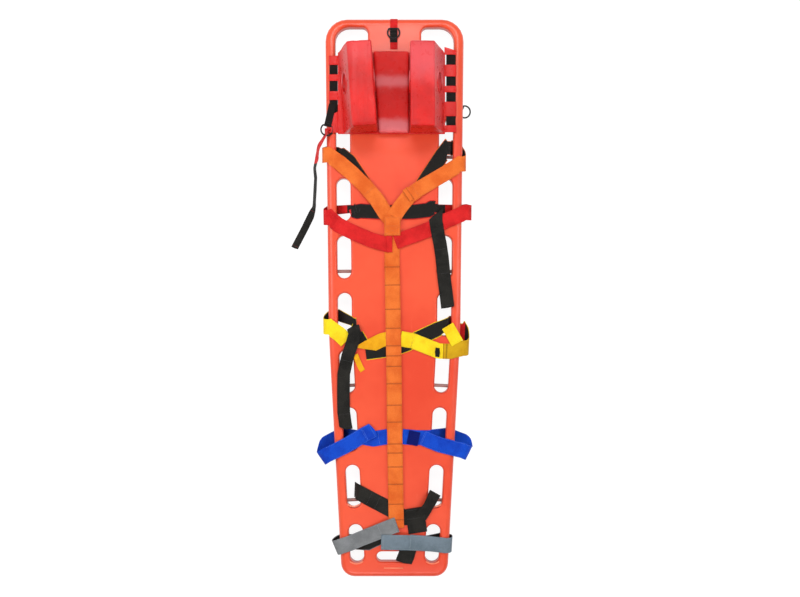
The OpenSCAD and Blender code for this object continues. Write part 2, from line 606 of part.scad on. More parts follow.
module top_strap() {
  edge = board_len / 2;
  off = 1.2 + small_t / 2;
  centre = [edge - edge_top, top_z - edge_top];
  low = [edge - edge_bottom, lift + edge_bottom];
  // Its stations lie along Y, so the band is drawn along X and turned
  color(web_red) translate([-2, 0, 0]) rotate([0, 0, 90]) band(concat(
    [[base_y + base_len / 2 + 12, 0, top_z + off, 0], [centre.x - 4, 0, top_z + off, 0]],
    [for (a = [0:30:90]) [centre.x + (edge_top + off) * sin(a), 0, centre.y + (edge_top + off) * cos(a), a]],
    [for (a = [90:30:180]) [low.x + (edge_bottom + off) * sin(a), 0, low.y + (edge_bottom + off) * cos(a), a]],
    [[edge - 60, 0, lift - off, 180]]), 1, small_w, small_t);
}

board_shell();
clip_pins();
immobiliser_base();
side_strip_left();
side_strip_right();
head_pad();
head_block_left();
head_block_right();
block_fastener_left();
block_fastener_right();
top_strap();
top_ring_tab();
top_ring();
ring_tab_left();
ring_left();
ring_tab_right();
ring_right();
head_strap_red();
head_strap_black();
spine_strap();
yoke_neck();
yoke_arm_right();
shoulder_strap_left();
shoulder_tape_left();
shoulder_strap_right();
shoulder_tape_right();
chest_strap_left();
chest_tape_left();
chest_strap_right();
chest_tape_right();
chest_tail();
chest_keeper();
waist_leg_left();
waist_loop_left();
waist_tape_left();
waist_tail_left();
waist_flap_left();
waist_strap_right();
waist_tape_right();
waist_keeper_right();
thigh_strap_left();
thigh_strap_right();
thigh_patch_right();
shin_strap_left();
shin_strap_right();
foot_band();
foot_band_block();
foot_tail();
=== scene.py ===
import math

import bmesh
import bpy
from mathutils import Matrix, Vector, noise


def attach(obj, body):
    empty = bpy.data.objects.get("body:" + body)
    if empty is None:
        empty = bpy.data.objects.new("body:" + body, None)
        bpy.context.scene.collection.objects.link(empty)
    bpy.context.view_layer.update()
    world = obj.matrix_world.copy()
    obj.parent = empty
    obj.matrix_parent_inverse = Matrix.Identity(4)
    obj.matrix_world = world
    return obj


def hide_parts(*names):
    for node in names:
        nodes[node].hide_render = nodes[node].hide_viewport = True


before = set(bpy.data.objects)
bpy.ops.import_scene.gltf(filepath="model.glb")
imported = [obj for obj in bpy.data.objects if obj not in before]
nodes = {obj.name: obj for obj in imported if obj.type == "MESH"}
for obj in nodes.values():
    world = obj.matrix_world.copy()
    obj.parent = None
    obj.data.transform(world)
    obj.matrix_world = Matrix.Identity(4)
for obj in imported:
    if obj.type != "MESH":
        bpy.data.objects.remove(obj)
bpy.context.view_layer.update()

# Sizes of the board and its webbing, in millimetres, as in the part's source
BOARD_LEN = 1840
HEAD_W, BEND_W, FOOT_W = 457, 437, 354
HEAD_Y, BEND_Y, FOOT_Y = 848, -118, -875
TOP_Z, LIFT, GAP = 64, 20, 0.3
EDGE_TOP, EDGE_BOTTOM, RIM_R = 18, 14, 10
RAIL_W, HOLD_W = 32, 46
WEB_W, WEB_T, LAYER = 50, 2, 2.5
WRAP = 2.8
SMALL_W, SMALL_T = 24, 1.2


def mm(*values):
    return Vector(values) * 0.001


# Camera and lights


def add_camera():
    data = bpy.data.cameras.new("camera")
    data.lens = 45
    data.sensor_width = 36
    data.clip_end = 50
    camera = bpy.data.objects.new("camera", data)
    bpy.context.scene.collection.objects.link(camera)
    camera.location = (0.018, -0.002, 3.354)
    bpy.context.scene.camera = camera


def add_softbox(name, place, aim, size, power):
    data = bpy.data.lights.new(name, "AREA")
    data.shape = "RECTANGLE"
    data.size, data.size_y = size
    data.energy = power
    lamp = bpy.data.objects.new(name, data)
    bpy.context.scene.collection.objects.link(lamp)
    lamp.location = place
    lamp.rotation_euler = (Vector(aim) - Vector(place)).to_track_quat("-Z", "Y").to_euler()


# Materials


def linear(value):
    return value / 12.92 if value <= 0.04045 else ((value + 0.055) / 1.055) ** 2.4


def colour(red, green, blue):
    """A paint colour, read as 0 to 255 on a colour card."""
    return (linear(red / 255), linear(green / 255), linear(blue / 255), 1)


def darker(tone, share):
    return (tone[0] * share, tone[1] * share, tone[2] * share, 1)


class Finish:
    """A material and the few node shorthands that its recipe needs."""

    def __init__(self, name, rough=0.5, **sockets):
        self.material = bpy.data.materials.new(name)
        self.material.use_nodes = True
        self.tree = self.material.node_tree
        self.shader = self.tree.nodes["Principled BSDF"]
        self.shader.inputs["Roughness"].default_value = rough
        for key, value in sockets.items():
            self.shader.inputs[key.replace("_", " ")].default_value = value

    def node(self, kind, **settings):
        made = self.tree.nodes.new(kind)
        for key, value in settings.items():
            setattr(made, key, value)
        return made

    def plug(self, target, value):
        if isinstance(value, bpy.types.NodeSocket):
            self.tree.links.new(value, target)
        else:
            target.default_value = value

    def maths(self, operation, *values, clamp=False):
        made = self.node("ShaderNodeMath", operation=operation, use_clamp=clamp)
        for socket, value in zip(made.inputs, values):
            self.plug(socket, value)
        return made.outputs[0]

    def mix(self, share, first, second):
        made = self.node("ShaderNodeMix", data_type="RGBA")
        self.plug(made.inputs[0], share)
        self.plug(made.inputs[6], first)
        self.plug(made.inputs[7], second)
        return made.outputs[2]

    def ramp(self, value, low, high, to_low=0.0, to_high=1.0):
        made = self.node("ShaderNodeMapRange", interpolation_type="SMOOTHSTEP")
        for socket, number in zip(made.inputs, (value, low, high, to_low, to_high)):
            self.plug(socket, number)
        return made.outputs[0]

    def place(self, stretch=(1, 1, 1)):
        spot = self.node("ShaderNodeTexCoord")
        made = self.node("ShaderNodeMapping")
        self.plug(made.inputs["Vector"], spot.outputs["Object"])
        self.plug(made.inputs["Scale"], stretch)
        return made.outputs[0]

    def clouds(self, scale, detail=3.0, stretch=(1, 1, 1), rough=0.5):
        made = self.node("ShaderNodeTexNoise")
        self.plug(made.inputs["Vector"], self.place(stretch))
        self.plug(made.inputs["Scale"], scale)
        self.plug(made.inputs["Detail"], detail)
        self.plug(made.inputs["Roughness"], rough)
        return made.outputs["Fac"]

    def split(self, vector):
        parts = self.node("ShaderNodeSeparateXYZ")
        self.plug(parts.inputs[0], vector)
        return parts.outputs

    def across_along(self):
        """Metres across and along a band, from its own UV map."""
        return self.split(self.node("ShaderNodeUVMap", uv_map="UVMap").outputs[0])[:2]

    def bump(self, height, distance, strength=1.0, after=None):
        made = self.node("ShaderNodeBump")
        self.plug(made.inputs["Height"], height)
        made.inputs["Distance"].default_value = distance
        made.inputs["Strength"].default_value = strength
        if after is not None:
            self.plug(made.inputs["Normal"], after)
        return made.outputs[0]

    def set(self, socket, value):
        self.plug(self.shader.inputs[socket], value)


def moulded_plastic(name, base, dull, worn):
    """Glossy moulded plastic with painted shade down its walls and towards the foot end, with scuffs and a
    faint peel.
    """
    made = Finish(name, 0.36, Specular_IOR_Level=0.45)
    cloud = made.clouds(2.2, 4, rough=0.6)
    tone = made.mix(made.ramp(cloud, 0.35, 0.7), base, dull)
    scuff = made.clouds(60, 5, (1, 0.25, 1), 0.7)
    patch = made.clouds(5, 2)
    scuffed = made.maths("MULTIPLY", made.ramp(scuff, 0.62, 0.72), made.ramp(patch, 0.5, 0.7))
    tone = made.mix(made.maths("MULTIPLY", scuffed, 0.25), tone, worn)
    edge = made.node("ShaderNodeNewGeometry").outputs["Pointiness"]
    tone = made.mix(made.ramp(edge, 0.52, 0.58, 0, 0.25), tone, worn)
    _, y, z = made.split(made.place())
    # painted shade: below the top face the colour is painted darker, for the shade down the walls of holes
    # and rails
    painted_wall_shade = (dull[0] * 0.62, dull[1] * 0.55, dull[2] * 0.6, 1)
    tone = made.mix(made.ramp(z, 0.036, 0.053, 0.8, 0.0), tone, painted_wall_shade)
    # painted shade: darker towards the foot end, for the light falling off there
    tone = made.mix(made.ramp(y, -0.93, -0.78, 0.35, 0.0), tone, dull)
    made.set("Base Color", tone)
    rough = made.maths("ADD", made.ramp(cloud, 0.3, 0.7, 0.28, 0.38), made.maths("MULTIPLY", scuffed, 0.15))
    made.set("Roughness", rough)
    peel = made.bump(made.clouds(420, 2), 0.0004, 0.35)
    wave = made.bump(made.clouds(14, 2), 0.004, 0.18, peel)
    made.set("Normal", made.bump(scuff, 0.0003, 0.25, wave))
    return made.material


def coated_vinyl(name, tone, deep, pale, weave=0.25, rough=0.3, painted_sheen_bands=(), fold_sheen_and_shade=0.0):
    """Red coated fabric: glossy, with the weave of its cloth showing through. Each band (y and half height in
    metres, strength) is painted paler as a painted sheen, and lines of painted highlight and painted shade
    run along the fabric."""
    made = Finish(name, rough, Specular_IOR_Level=0.3, Coat_Weight=0.06, Coat_Roughness=0.25)
    cloud = made.clouds(7, 4, rough=0.6)
    paint = made.mix(made.ramp(cloud, 0.35, 0.7), tone, deep)
    wear = made.clouds(45, 5, rough=0.7)
    rubbed = made.maths("MULTIPLY", made.ramp(wear, 0.58, 0.72), made.ramp(made.clouds(9, 2), 0.45, 0.65))
    paint = made.mix(made.maths("MULTIPLY", rubbed, 0.3), paint, pale)
    x, y, z = made.split(made.place())
    # painted sheen: each band paints the pale tone across the cover, for the reflection of the key lamp
    for middle, half, strength in painted_sheen_bands:
        away = made.maths("ABSOLUTE", made.maths("SUBTRACT", y, middle))
        uneven = made.maths("MULTIPLY", made.clouds(30, 3), half * 0.8)
        there = made.ramp(made.maths("ADD", away, uneven), half * 0.6, half * 1.7, strength, 0.0)
        paint = made.mix(there, paint, pale)
    # painted highlight and painted shade: pale and dark lines along the fabric, for the light and shade of
    # its folds
    if fold_sheen_and_shade:
        lines = made.clouds(34, 2, (1, 0.03, 0.3))
        paint = made.mix(made.ramp(lines, 0.55, 0.75, 0.0, fold_sheen_and_shade), paint, pale)
        paint = made.mix(made.ramp(lines, 0.45, 0.28, 0.0, fold_sheen_and_shade), paint, deep)
    made.set("Base Color", paint)
    made.set("Roughness", made.ramp(wear, 0.3, 0.75, rough - 0.05, rough + 0.12))
    thread = 2 * math.pi / 0.0021
    warp, weft, upright = (made.maths("SINE", made.maths("MULTIPLY", part, thread)) for part in (x, y, z))
    cloth = made.maths("MULTIPLY", made.maths("ADD", warp, made.maths("MULTIPLY", upright, 0.7)), weft)
    creased = made.bump(made.clouds(26, 4, (1, 0.35, 1), 0.6), 0.004, 0.22)
    made.set("Normal", made.bump(cloth, 0.00035, weave, creased))
    return made.material


def webbing(name, tone, deep, pale, fuzz=0.15):
    """Woven polypropylene band: ribs across it and warp columns along it."""
    made = Finish(name, 0.62, Sheen_Weight=0.05, Sheen_Roughness=0.5, Specular_IOR_Level=0.14)
    across, along = made.across_along()
    column = made.maths("MULTIPLY", across, 1 / 0.0017)
    odd = made.maths("MULTIPLY", made.maths("FLOOR", column), math.pi)
    rib = made.maths("SINE", made.maths("ADD", made.maths("MULTIPLY", along, 2 * math.pi / 0.0026), odd))
    cord = made.maths("ABSOLUTE", made.maths("SINE", made.maths("MULTIPLY", column, math.pi)))
    weave = made.maths("MULTIPLY", made.maths("ADD", made.maths("MULTIPLY", rib, 0.5), 0.5), cord)
    cloud = made.clouds(16, 4, rough=0.6)
    paint = made.mix(made.ramp(cloud, 0.35, 0.68), tone, deep)
    paint = made.mix(made.ramp(weave, 0.0, 0.5, 0.34, 0.0), paint, deep)
    seam_shade = made.node("ShaderNodeAttribute", attribute_name="seam_shade").outputs["Fac"]
    # painted shade: a dark tone painted along seams and creases, for the shade in their valleys
    paint = made.mix(made.maths("MULTIPLY", seam_shade, 0.85), paint, darker(deep, 0.42))
    paint = made.mix(made.maths("MULTIPLY", made.ramp(made.clouds(380, 2), 0.5, 0.7), fuzz), paint, pale)
    made.set("Base Color", paint)
    made.set("Roughness", made.ramp(cloud, 0.3, 0.7, 0.55, 0.72))
    made.set("Normal", made.bump(weave, 0.0006, 0.6, made.bump(made.clouds(40, 3), 0.002, 0.15)))
    return made.material


def hook_tape(name, tone, pale):
    """Hook and loop: a matt face of fine hooks in rows."""
    made = Finish(name, 0.85, Sheen_Weight=0.1, Sheen_Roughness=0.4, Specular_IOR_Level=0.12)
    across, along = made.across_along()
    rows = made.maths("SINE", made.maths("MULTIPLY", across, 2 * math.pi / 0.0015))
    files = made.maths("SINE", made.maths("MULTIPLY", along, 2 * math.pi / 0.0013))
    tuft = made.maths("ADD", made.maths("MULTIPLY", rows, files), made.clouds(900, 2))
    cloud = made.clouds(22, 4, rough=0.6)
    made.set("Base Color", made.mix(made.maths("MULTIPLY", made.ramp(tuft, 0.4, 1.4), 0.4), tone, pale))
    made.set("Roughness", made.ramp(cloud, 0.3, 0.7, 0.75, 0.92))
    made.set("Normal", made.bump(tuft, 0.0007, 0.5, made.bump(cloud, 0.003, 0.2)))
    return made.material


def coated_metal():
    made = Finish("ring_metal", 0.38, Specular_IOR_Level=0.3, Coat_Weight=0.1, Coat_Roughness=0.25)
    chip = made.clouds(160, 4, rough=0.7)
    made.set("Base Color", made.mix(made.ramp(chip, 0.66, 0.72), colour(17, 18, 19), colour(84, 86, 90)))
    made.set("Roughness", made.ramp(chip, 0.3, 0.7, 0.26, 0.45))
    made.set("Normal", made.bump(made.clouds(260, 3), 0.0003, 0.3))
    return made.material


def pin_plastic():
    made = Finish("pin_plastic", 0.42)
    cloud = made.clouds(70, 3)
    shades = colour(150, 112, 108), colour(176, 120, 110)
    made.set("Base Color", made.mix(made.ramp(cloud, 0.35, 0.7), *shades))
    made.set("Normal", made.bump(made.clouds(300, 2), 0.0003, 0.3))
    return made.material


def thread_finish(name, tone):
    made = Finish(name, 0.6, Sheen_Weight=0.2)
    twist = made.clouds(900, 2)
    made.set("Base Color", made.mix(made.ramp(twist, 0.3, 0.7), tone, darker(tone, 0.7)))
    made.set("Normal", made.bump(twist, 0.0003, 0.4))
    return made.material


def floor_finish():
    """A white floor that keeps the object's soft shadow, and lights it as a pale floor does."""
    made = Finish("studio_floor", 0.9)
    tree, shader = made.tree, made.shader
    shader.inputs["Base Color"].default_value = (0.75, 0.75, 0.75, 1)
    seen = made.node("ShaderNodeBsdfDiffuse")
    seen.inputs["Color"].default_value = (0.16, 0.16, 0.16, 1)
    glow = made.node("ShaderNodeEmission")
    glow.inputs["Color"].default_value = (0.93, 0.93, 0.93, 1)
    both = made.node("ShaderNodeAddShader")
    tree.links.new(seen.outputs[0], both.inputs[0])
    tree.links.new(glow.outputs[0], both.inputs[1])
    path = made.node("ShaderNodeLightPath")
    looked_at = made.maths("MAXIMUM", path.outputs["Is Camera Ray"], path.outputs["Is Glossy Ray"])
    looked_at = made.maths("MAXIMUM", looked_at, path.outputs["Is Transmission Ray"])
    swap = made.node("ShaderNodeMixShader")
    tree.links.new(looked_at, swap.inputs[0])
    tree.links.new(shader.outputs[0], swap.inputs[1])
    tree.links.new(both.outputs[0], swap.inputs[2])
    tree.links.new(swap.outputs[0], tree.nodes["Material Output"].inputs["Surface"])
    return made.material


plastic = moulded_plastic("board_plastic", colour(240, 88, 56), colour(226, 66, 36), colour(248, 126, 92))
# painted highlight: the relief ridges take a paler copy of the board plastic, for the light along their rims
ridge_highlight_plastic = moulded_plastic("board_ridges_highlight", colour(252, 142, 108), colour(246, 124, 88),
                                colour(254, 160, 130))
vinyl = coated_vinyl("coated_red", colour(226, 22, 14), colour(200, 10, 6), colour(232, 84, 80))
vinyl_block_left = coated_vinyl("coated_red_left", colour(224, 20, 14), colour(190, 8, 6),
                                colour(230, 84, 88), painted_sheen_bands=((0.78, 0.05, 0.35),), fold_sheen_and_shade=0.5)
vinyl_block_right = coated_vinyl("coated_red_right", colour(224, 20, 14), colour(192, 8, 6),
                                 colour(226, 92, 100), 0.4, painted_sheen_bands=((0.75, 0.08, 0.6),), fold_sheen_and_shade=0.12)
vinyl_pad = coated_vinyl("coated_red_pad", colour(232, 36, 32), colour(212, 20, 16), colour(240, 140, 146),
                         0.6, 0.3, ((0.706, 0.022, 0.6), (0.562, 0.026, 0.8)))
web_orange = webbing("webbing_orange", colour(238, 120, 46), colour(218, 94, 30), colour(250, 164, 92))
web_red = webbing("webbing_red", colour(226, 34, 34), colour(190, 18, 22), colour(242, 90, 84))
web_yellow = webbing("webbing_yellow", colour(250, 226, 30), colour(240, 196, 14), colour(255, 240, 110))
web_amber = webbing("webbing_amber", colour(242, 178, 20), colour(226, 150, 8), colour(252, 206, 70))
web_ochre = webbing("webbing_ochre", colour(214, 168, 16), colour(190, 138, 6), colour(236, 196, 60))
web_blue = webbing("webbing_blue", colour(6, 76, 204), colour(2, 52, 172), colour(50, 116, 234))
web_grey = webbing("webbing_grey", colour(136, 138, 140), colour(112, 114, 116), colour(168, 170, 172))
web_slate = webbing("webbing_slate", colour(118, 132, 143), colour(94, 108, 118), colour(150, 164, 176))
web_black = webbing("webbing_black", colour(36, 34, 30), colour(20, 19, 17), colour(74, 72, 68), fuzz=0.2)
tape_black = hook_tape("black_tape", colour(30, 29, 27), colour(60, 60, 60))
tape_hook = hook_tape("hook_tape", colour(20, 20, 20), colour(52, 52, 54))
tape_navy = hook_tape("hook_tape_blue", colour(6, 16, 96), colour(24, 46, 150))
metal = coated_metal()
pins = pin_plastic()
thread_orange = thread_finish("thread_orange", colour(196, 78, 26))
thread_dark = thread_finish("thread_dark", colour(52, 54, 58))
thread_red = thread_finish("thread_red", colour(196, 30, 34))
thread_yellow = thread_finish("thread_yellow", colour(206, 146, 14))
thread_blue = thread_finish("thread_blue", colour(96, 140, 232))
thread_grey = thread_finish("thread_grey", colour(166, 174, 178))

# Pieces and bands


def piece(bm, name, finish, body="board", slot=None, stands_for=(), sharp=None):
    mesh = bpy.data.meshes.new(name)
    bm.to_mesh(mesh)
    bm.free()
    mesh.shade_smooth()
    if sharp:
        mesh.set_sharp_from_angle(angle=math.radians(sharp))
    made = bpy.data.objects.new(name, mesh)
    bpy.context.scene.collection.objects.link(made)
    mesh.materials.append(finish)
    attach(made, body)
    if stands_for:
        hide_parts(*stands_for)
    return made


def polished(node, finish, body, slot, sharp=32, coat=0.0):
    """A copy of a CAD node with merged corners and normals weighted by area, so that its roundings shade
    smoothly. A coat, in millimetres, lies evenly on it."""
    bm = bmesh.new()
    bm.from_mesh(nodes[node].data)
    bmesh.ops.remove_doubles(bm, verts=bm.verts[:], dist=0.00001)
    bm.normal_update()
    if coat:
        outwards = [v.normal.copy() for v in bm.verts]
        for v, way in zip(bm.verts, outwards):
            v.co += way * coat * 0.001
    made = piece(bm, node + "_finished", finish, body, slot, (node,), sharp=sharp)
    weighted = made.modifiers.new("weighted", "WEIGHTED_NORMAL")
    weighted.keep_sharp = True
    weighted.weight = 90


def to_metres(bm):
    bmesh.ops.scale(bm, vec=(0.001,) * 3, verts=bm.verts[:])


def thicken(made, thick, edge, segments, angle):
    """Gives a sheet its thickness and breaks its edges, both in millimetres."""
    solid = made.modifiers.new("thickness", "SOLIDIFY")
    solid.thickness = thick * 0.001
    solid.offset = 0
    rim = made.modifiers.new("edge", "BEVEL")
    rim.width = edge * 0.001
    rim.segments = segments
    rim.limit_method = "ANGLE"
    rim.angle_limit = math.radians(angle)


def half_w(y):
    if y > BEND_Y:
        return BEND_W / 2 + (HEAD_W - BEND_W) / 2 * (y - BEND_Y) / (HEAD_Y - BEND_Y)
    return BEND_W / 2 - (BEND_W - FOOT_W) / 2 * (BEND_Y - y) / (BEND_Y - FOOT_Y)


def taper(y):
    """How far the right rail moves outwards for each millimetre towards the head."""
    if y > BEND_Y:
        return (HEAD_W - BEND_W) / 2 / (HEAD_Y - BEND_Y)
    return (BEND_W - FOOT_W) / 2 / (BEND_Y - FOOT_Y)


class Line:
    """The run of a band: its centre line through stations (x, y, z, tilt), which way its face looks, and how
    it spreads. A fifth number puts a station on a rail or rim, where the band is cut parallel to the rail,
    and is a share of its width. With a sixth, the band turns about a fold square to that heading instead."""

    STEP = 2.5
    LONG_SPAN, EASE = 26, 8

    def __init__(self, stations, side=1):
        points = [Vector(s[:3]) for s in stations]
        tilts = [s[3] for s in stations]
        rims = [1.0 if len(s) == 5 else 0.0 for s in stations]
        shares = [s[4] if len(s) > 4 else 1.0 for s in stations]
        headings = [s[5] if len(s) > 5 else 0.0 for s in stations]
        samples = self.resampled(self.eased(list(zip(points, tilts, rims, shares, headings))))
        self.side = side
        self.points = [s[0] for s in samples]
        self.run = [0.0]
        for a, b in zip(self.points, self.points[1:]):
            self.run.append(self.run[-1] + (b - a).length)
        self.length = self.run[-1]
        self.spread, self.normals = [], []
        last = len(self.points) - 1
        for i, (p, tilt, rim, share, heading) in enumerate(samples):
            along = (self.points[min(i + 1, last)] - self.points[max(i - 1, 0)]).normalized()
            out, turn = math.radians(heading), math.radians(tilt)
            lean = math.sin(turn)
            face = Vector((side * lean * math.cos(out), lean * math.sin(out), math.cos(turn)))
            square_on = along.cross(face).normalized()
            rail = Vector((side * taper(p.y), 1, 0)).normalized() * (1 if square_on.y >= 0 else -1)
            spread = square_on.lerp(rail / max(abs(square_on.y), 0.6), rim) * share
            self.spread.append(spread)
            self.normals.append(spread.cross(along).normalized())

    @classmethod
    def eased(cls, rows):
        """Long stretches get a point near each end, so that the curve through them doesn't swing."""
        made = [rows[0]]
        for a, b in zip(rows, rows[1:]):
            span = (b[0] - a[0]).length
            if span > cls.LONG_SPAN:
                for share in (cls.EASE / span, 1 - cls.EASE / span):
                    rest = (m + (n - m) * share for m, n in zip(a[1:], b[1:]))
                    made.append((a[0].lerp(b[0], share), *rest))
            made.append(b)
        return made

    @classmethod
    def resampled(cls, rows):
        points = [r[0] for r in rows]
        spans = [max((b - a).length, 1e-6) for a, b in zip(points, points[1:])]
        slopes = []
        for i in range(len(points)):
            before = (points[i] - points[i - 1]) / spans[i - 1] if i > 0 else None
            after = (points[i + 1] - points[i]) / spans[i] if i < len(spans) else None
            if before is None or after is None:
                slopes.append(after if before is None else before)
            else:
                slopes.append((before * spans[i] + after * spans[i - 1]) / (spans[i - 1] + spans[i]))
        made = []
        for i, span in enumerate(spans):
            count = max(1, round(span / cls.STEP))
            for k in range(count):
                t = k / count
                h = [2 * t**3 - 3 * t**2 + 1, t**3 - 2 * t**2 + t, 3 * t**2 - 2 * t**3, t**3 - t**2]
                p = (points[i] * h[0] + slopes[i] * span * h[1]
                     + points[i + 1] * h[2] + slopes[i + 1] * span * h[3])
                a, b = rows[i], rows[i + 1]
                made.append((p, *(m + (n - m) * t for m, n in zip(a[1:], b[1:]))))
        made.append(rows[-1])
        return made

    def at(self, across, along, height=0.0):
        """The point, in millimetres, that lies across the band, along it and over its middle layer."""
        along = min(max(along, 0.0), self.length)
        low, high = 0, len(self.run) - 1
        while high - low > 1:
            mid = (low + high) // 2
            if self.run[mid] <= along:
                low = mid
            else:
                high = mid
        share = (along - self.run[low]) / max(self.run[high] - self.run[low], 1e-9)
        return (self.points[low].lerp(self.points[high], share)
                + self.spread[low].lerp(self.spread[high], share) * across
                + self.normals[low].lerp(self.normals[high], share).normalized() * height)

    def keep_square(self, spread):
        """Lays the band's width in one direction all along."""
        last = len(self.points) - 1
        for i in range(last + 1):
            along = (self.points[min(i + 1, last)] - self.points[max(i - 1, 0)]).normalized()
            self.spread[i] = spread.copy()
            self.normals[i] = spread.cross(along).normalized()

    def nearest(self, x, y):
        """How far along the line it comes nearest to a place seen from above."""
        best = min(range(len(self.points)), key=lambda i: (self.points[i].xy - Vector((x, y))).length)
        return self.run[best]


def waves(amount, length, seed):
    """A gentle unevenness of a band, as a height for each place on it."""
    def height(across, along):
        return amount * noise.noise(Vector((across / 45, along / length, seed)))
    return height


def band(name, line, finish, width=WEB_W, thick=WEB_T, start=0.0, end=None, height=0.0, shape=None,
         cols=6, step=4.0, cut=(0.0, 0.0), seams=(), **rest):
    """A woven band along a line. cut slants its two ends by that much over its width. seams are the places
    along it, with their half widths, where it is sewn or creased, and where painted shade darkens it."""
    end = line.length if end is None else end
    rows = max(2, round((end - start) / step))
    bm = bmesh.new()
    bmesh.ops.create_grid(bm, x_segments=cols, y_segments=rows, size=0.5)
    uv = bm.loops.layers.uv.new("UVMap")
    seam_shade_layer = bm.verts.layers.float.new("seam_shade")
    for face in bm.faces:
        for loop in face.loops:
            x, y = loop.vert.co.x, loop.vert.co.y + 0.5
            loop[uv].uv = (x * width * 0.001, (start + (end - start) * y) * 0.001)
    for v in bm.verts:
        across, share = v.co.x * width, v.co.y + 0.5
        low, high = start + cut[0] * v.co.x, end + cut[1] * v.co.x
        along = low + (high - low) * share
        lift = height + (shape(across, along) if shape else 0.0)
        v.co = line.at(across, along, lift) * 0.001
        # painted shade: how strongly each place near a seam or crease is painted dark
        v[seam_shade_layer] = max((math.exp(-(((along - place) / half) ** 2)) for place, half in seams), default=0.0)
    made = piece(bm, name, finish, **rest)
    thicken(made, thick, thick * 0.3, 2, 55)
    return made


def cross_rows(line, half, places, height=1.1):
    """Rows of thread across a band, for stitches."""
    return [(line, (-half, s), (half, s), height) for s in places]


def edge_rows(line, half, first, last, height=1.05):
    """Two rows of thread along the edges of a band, for stitches."""
    return [(line, (u, first), (u, last), height) for u in (-half, half)]


def stitches(name, runs, finish, pitch=4.2, slot=None):
    """Rows of thread: each run is (line, (across, along), (across, along), height)."""
    bm = bmesh.new()
    for line, first, last, height in runs:
        a, b = Vector(first), Vector(last)
        count = max(2, round((b - a).length / pitch))
        for i in range(count):
            here, there = a.lerp(b, (i + 0.14) / count), a.lerp(b, (i + 0.86) / count)
            p, q = line.at(here.x, here.y, height), line.at(there.x, there.y, height)
            up = (line.at(here.x, here.y, height + 1) - p).normalized()
            run = (q - p).normalized()
            turn = Matrix((run, up.cross(run), up)).transposed().to_4x4()
            size = Matrix.Diagonal((0.5 * (q - p).length, 0.45, 0.4, 1))
            spot = Matrix.Translation((p + q) * 0.0005) @ turn @ size
            bmesh.ops.create_uvsphere(bm, u_segments=6, v_segments=4, radius=0.001, matrix=spot)
    return piece(bm, name, finish, slot=slot)


# Half the length of a row of thread across a strap, and how far from its middle its hems are sewn
SEWN, HEM = 22, 22.8


def lay(n):
    return TOP_Z + GAP + WEB_T / 2 + n * LAYER


def round_rail(y_top, y_under, slack, n, pinch=1.0):
    edge = half_w((y_top + y_under) / 2)
    high = (edge + slack - EDGE_TOP, lay(n) - WRAP - EDGE_TOP)
    low = (edge + slack - EDGE_BOTTOM, LIFT + EDGE_BOTTOM)
    inner = (edge - RAIL_W + RIM_R, LIFT + RIM_R)
    made = []
    for k in range(11):
        y = y_top + (y_under - y_top) * min(1, k / 9) ** 2
        if k < 4:
            centre, radius, turn, share = high, EDGE_TOP + WRAP, k * 30, 1.0
        elif k < 8:
            centre, radius, turn, share = low, EDGE_BOTTOM + WRAP, 90 + (k - 4) * 30, 1.0
        else:
            centre, radius, turn, share = inner, RIM_R + WRAP + 0.8, 185 + (k - 8) * 25, pinch
        a = math.radians(turn)
        made.append((centre[0] + radius * math.sin(a), y, centre[1] + radius * math.cos(a), turn, share))
    return made


def loose_rail(y_top, y_under, slack, n, heading, pinch=1.0):
    """A strap that runs out in one line at a heading, turns back well clear of the rail about a fold square
    to it, and comes in under the rail to y_under."""
    stations = round_rail(y_top, y_under, slack, n, pinch)
    first = stations[0][0]
    slope = math.tan(math.radians(heading))
    made = []
    for k, (x, y, z, turn, share) in enumerate(stations):
        if k <= 7:
            back = max(0.0, (k - 5) / 3) ** 1.5
            line_y = y_top + (x - first) * slope
            made.append((x, line_y + (y_under - line_y) * back, z, turn, 1.0, heading))
        else:
            made.append((x, y_under, z, turn, share))
    return made


def over_rim(y, y_end, pinch=1.0):
    x = half_w(y) - RAIL_W - HOLD_W - RIM_R
    radius = RIM_R + WEB_T / 2 + 0.5
    centre_z = TOP_Z - RIM_R * math.sin(math.radians(70))
    made = []
    for k in range(3):
        turn = 66 - 23 * k
        a = math.radians(turn)
        made.append((x + radius * math.sin(a), y + (y_end - y) * k / 3, centre_z + radius * math.cos(a),
                     180 + turn, pinch))
    return made + [(x - 5, y_end, lay(0), 180, pinch)]


def rise(y, y_end, pinch=1.0):
    """A looser strap stands up out of the handhold and lies down towards the panel."""
    x = half_w(y) - RAIL_W
    up = ((5.5, 36, 240, 0), (9, 51, 232, 0.3), (14, 61, 212, 0.6), (22, lay(0) + 0.2, 188, 1))
    return [(x - inward, y + (y_end - y) * share, z, turn, pinch) for inward, z, turn, share in up]


def flat(*places):
    """Stations of a band that lies face up, as (x, y, layer)."""
    return [(x, y, lay(n), 0) for x, y, n in places]


def turned(*places):
    """Stations of a band that lies face down on its way back."""
    return [(x, y, lay(n), 180) for x, y, n in places]


def flip(route):
    return [(-s[0], *s[1:]) for s in route]


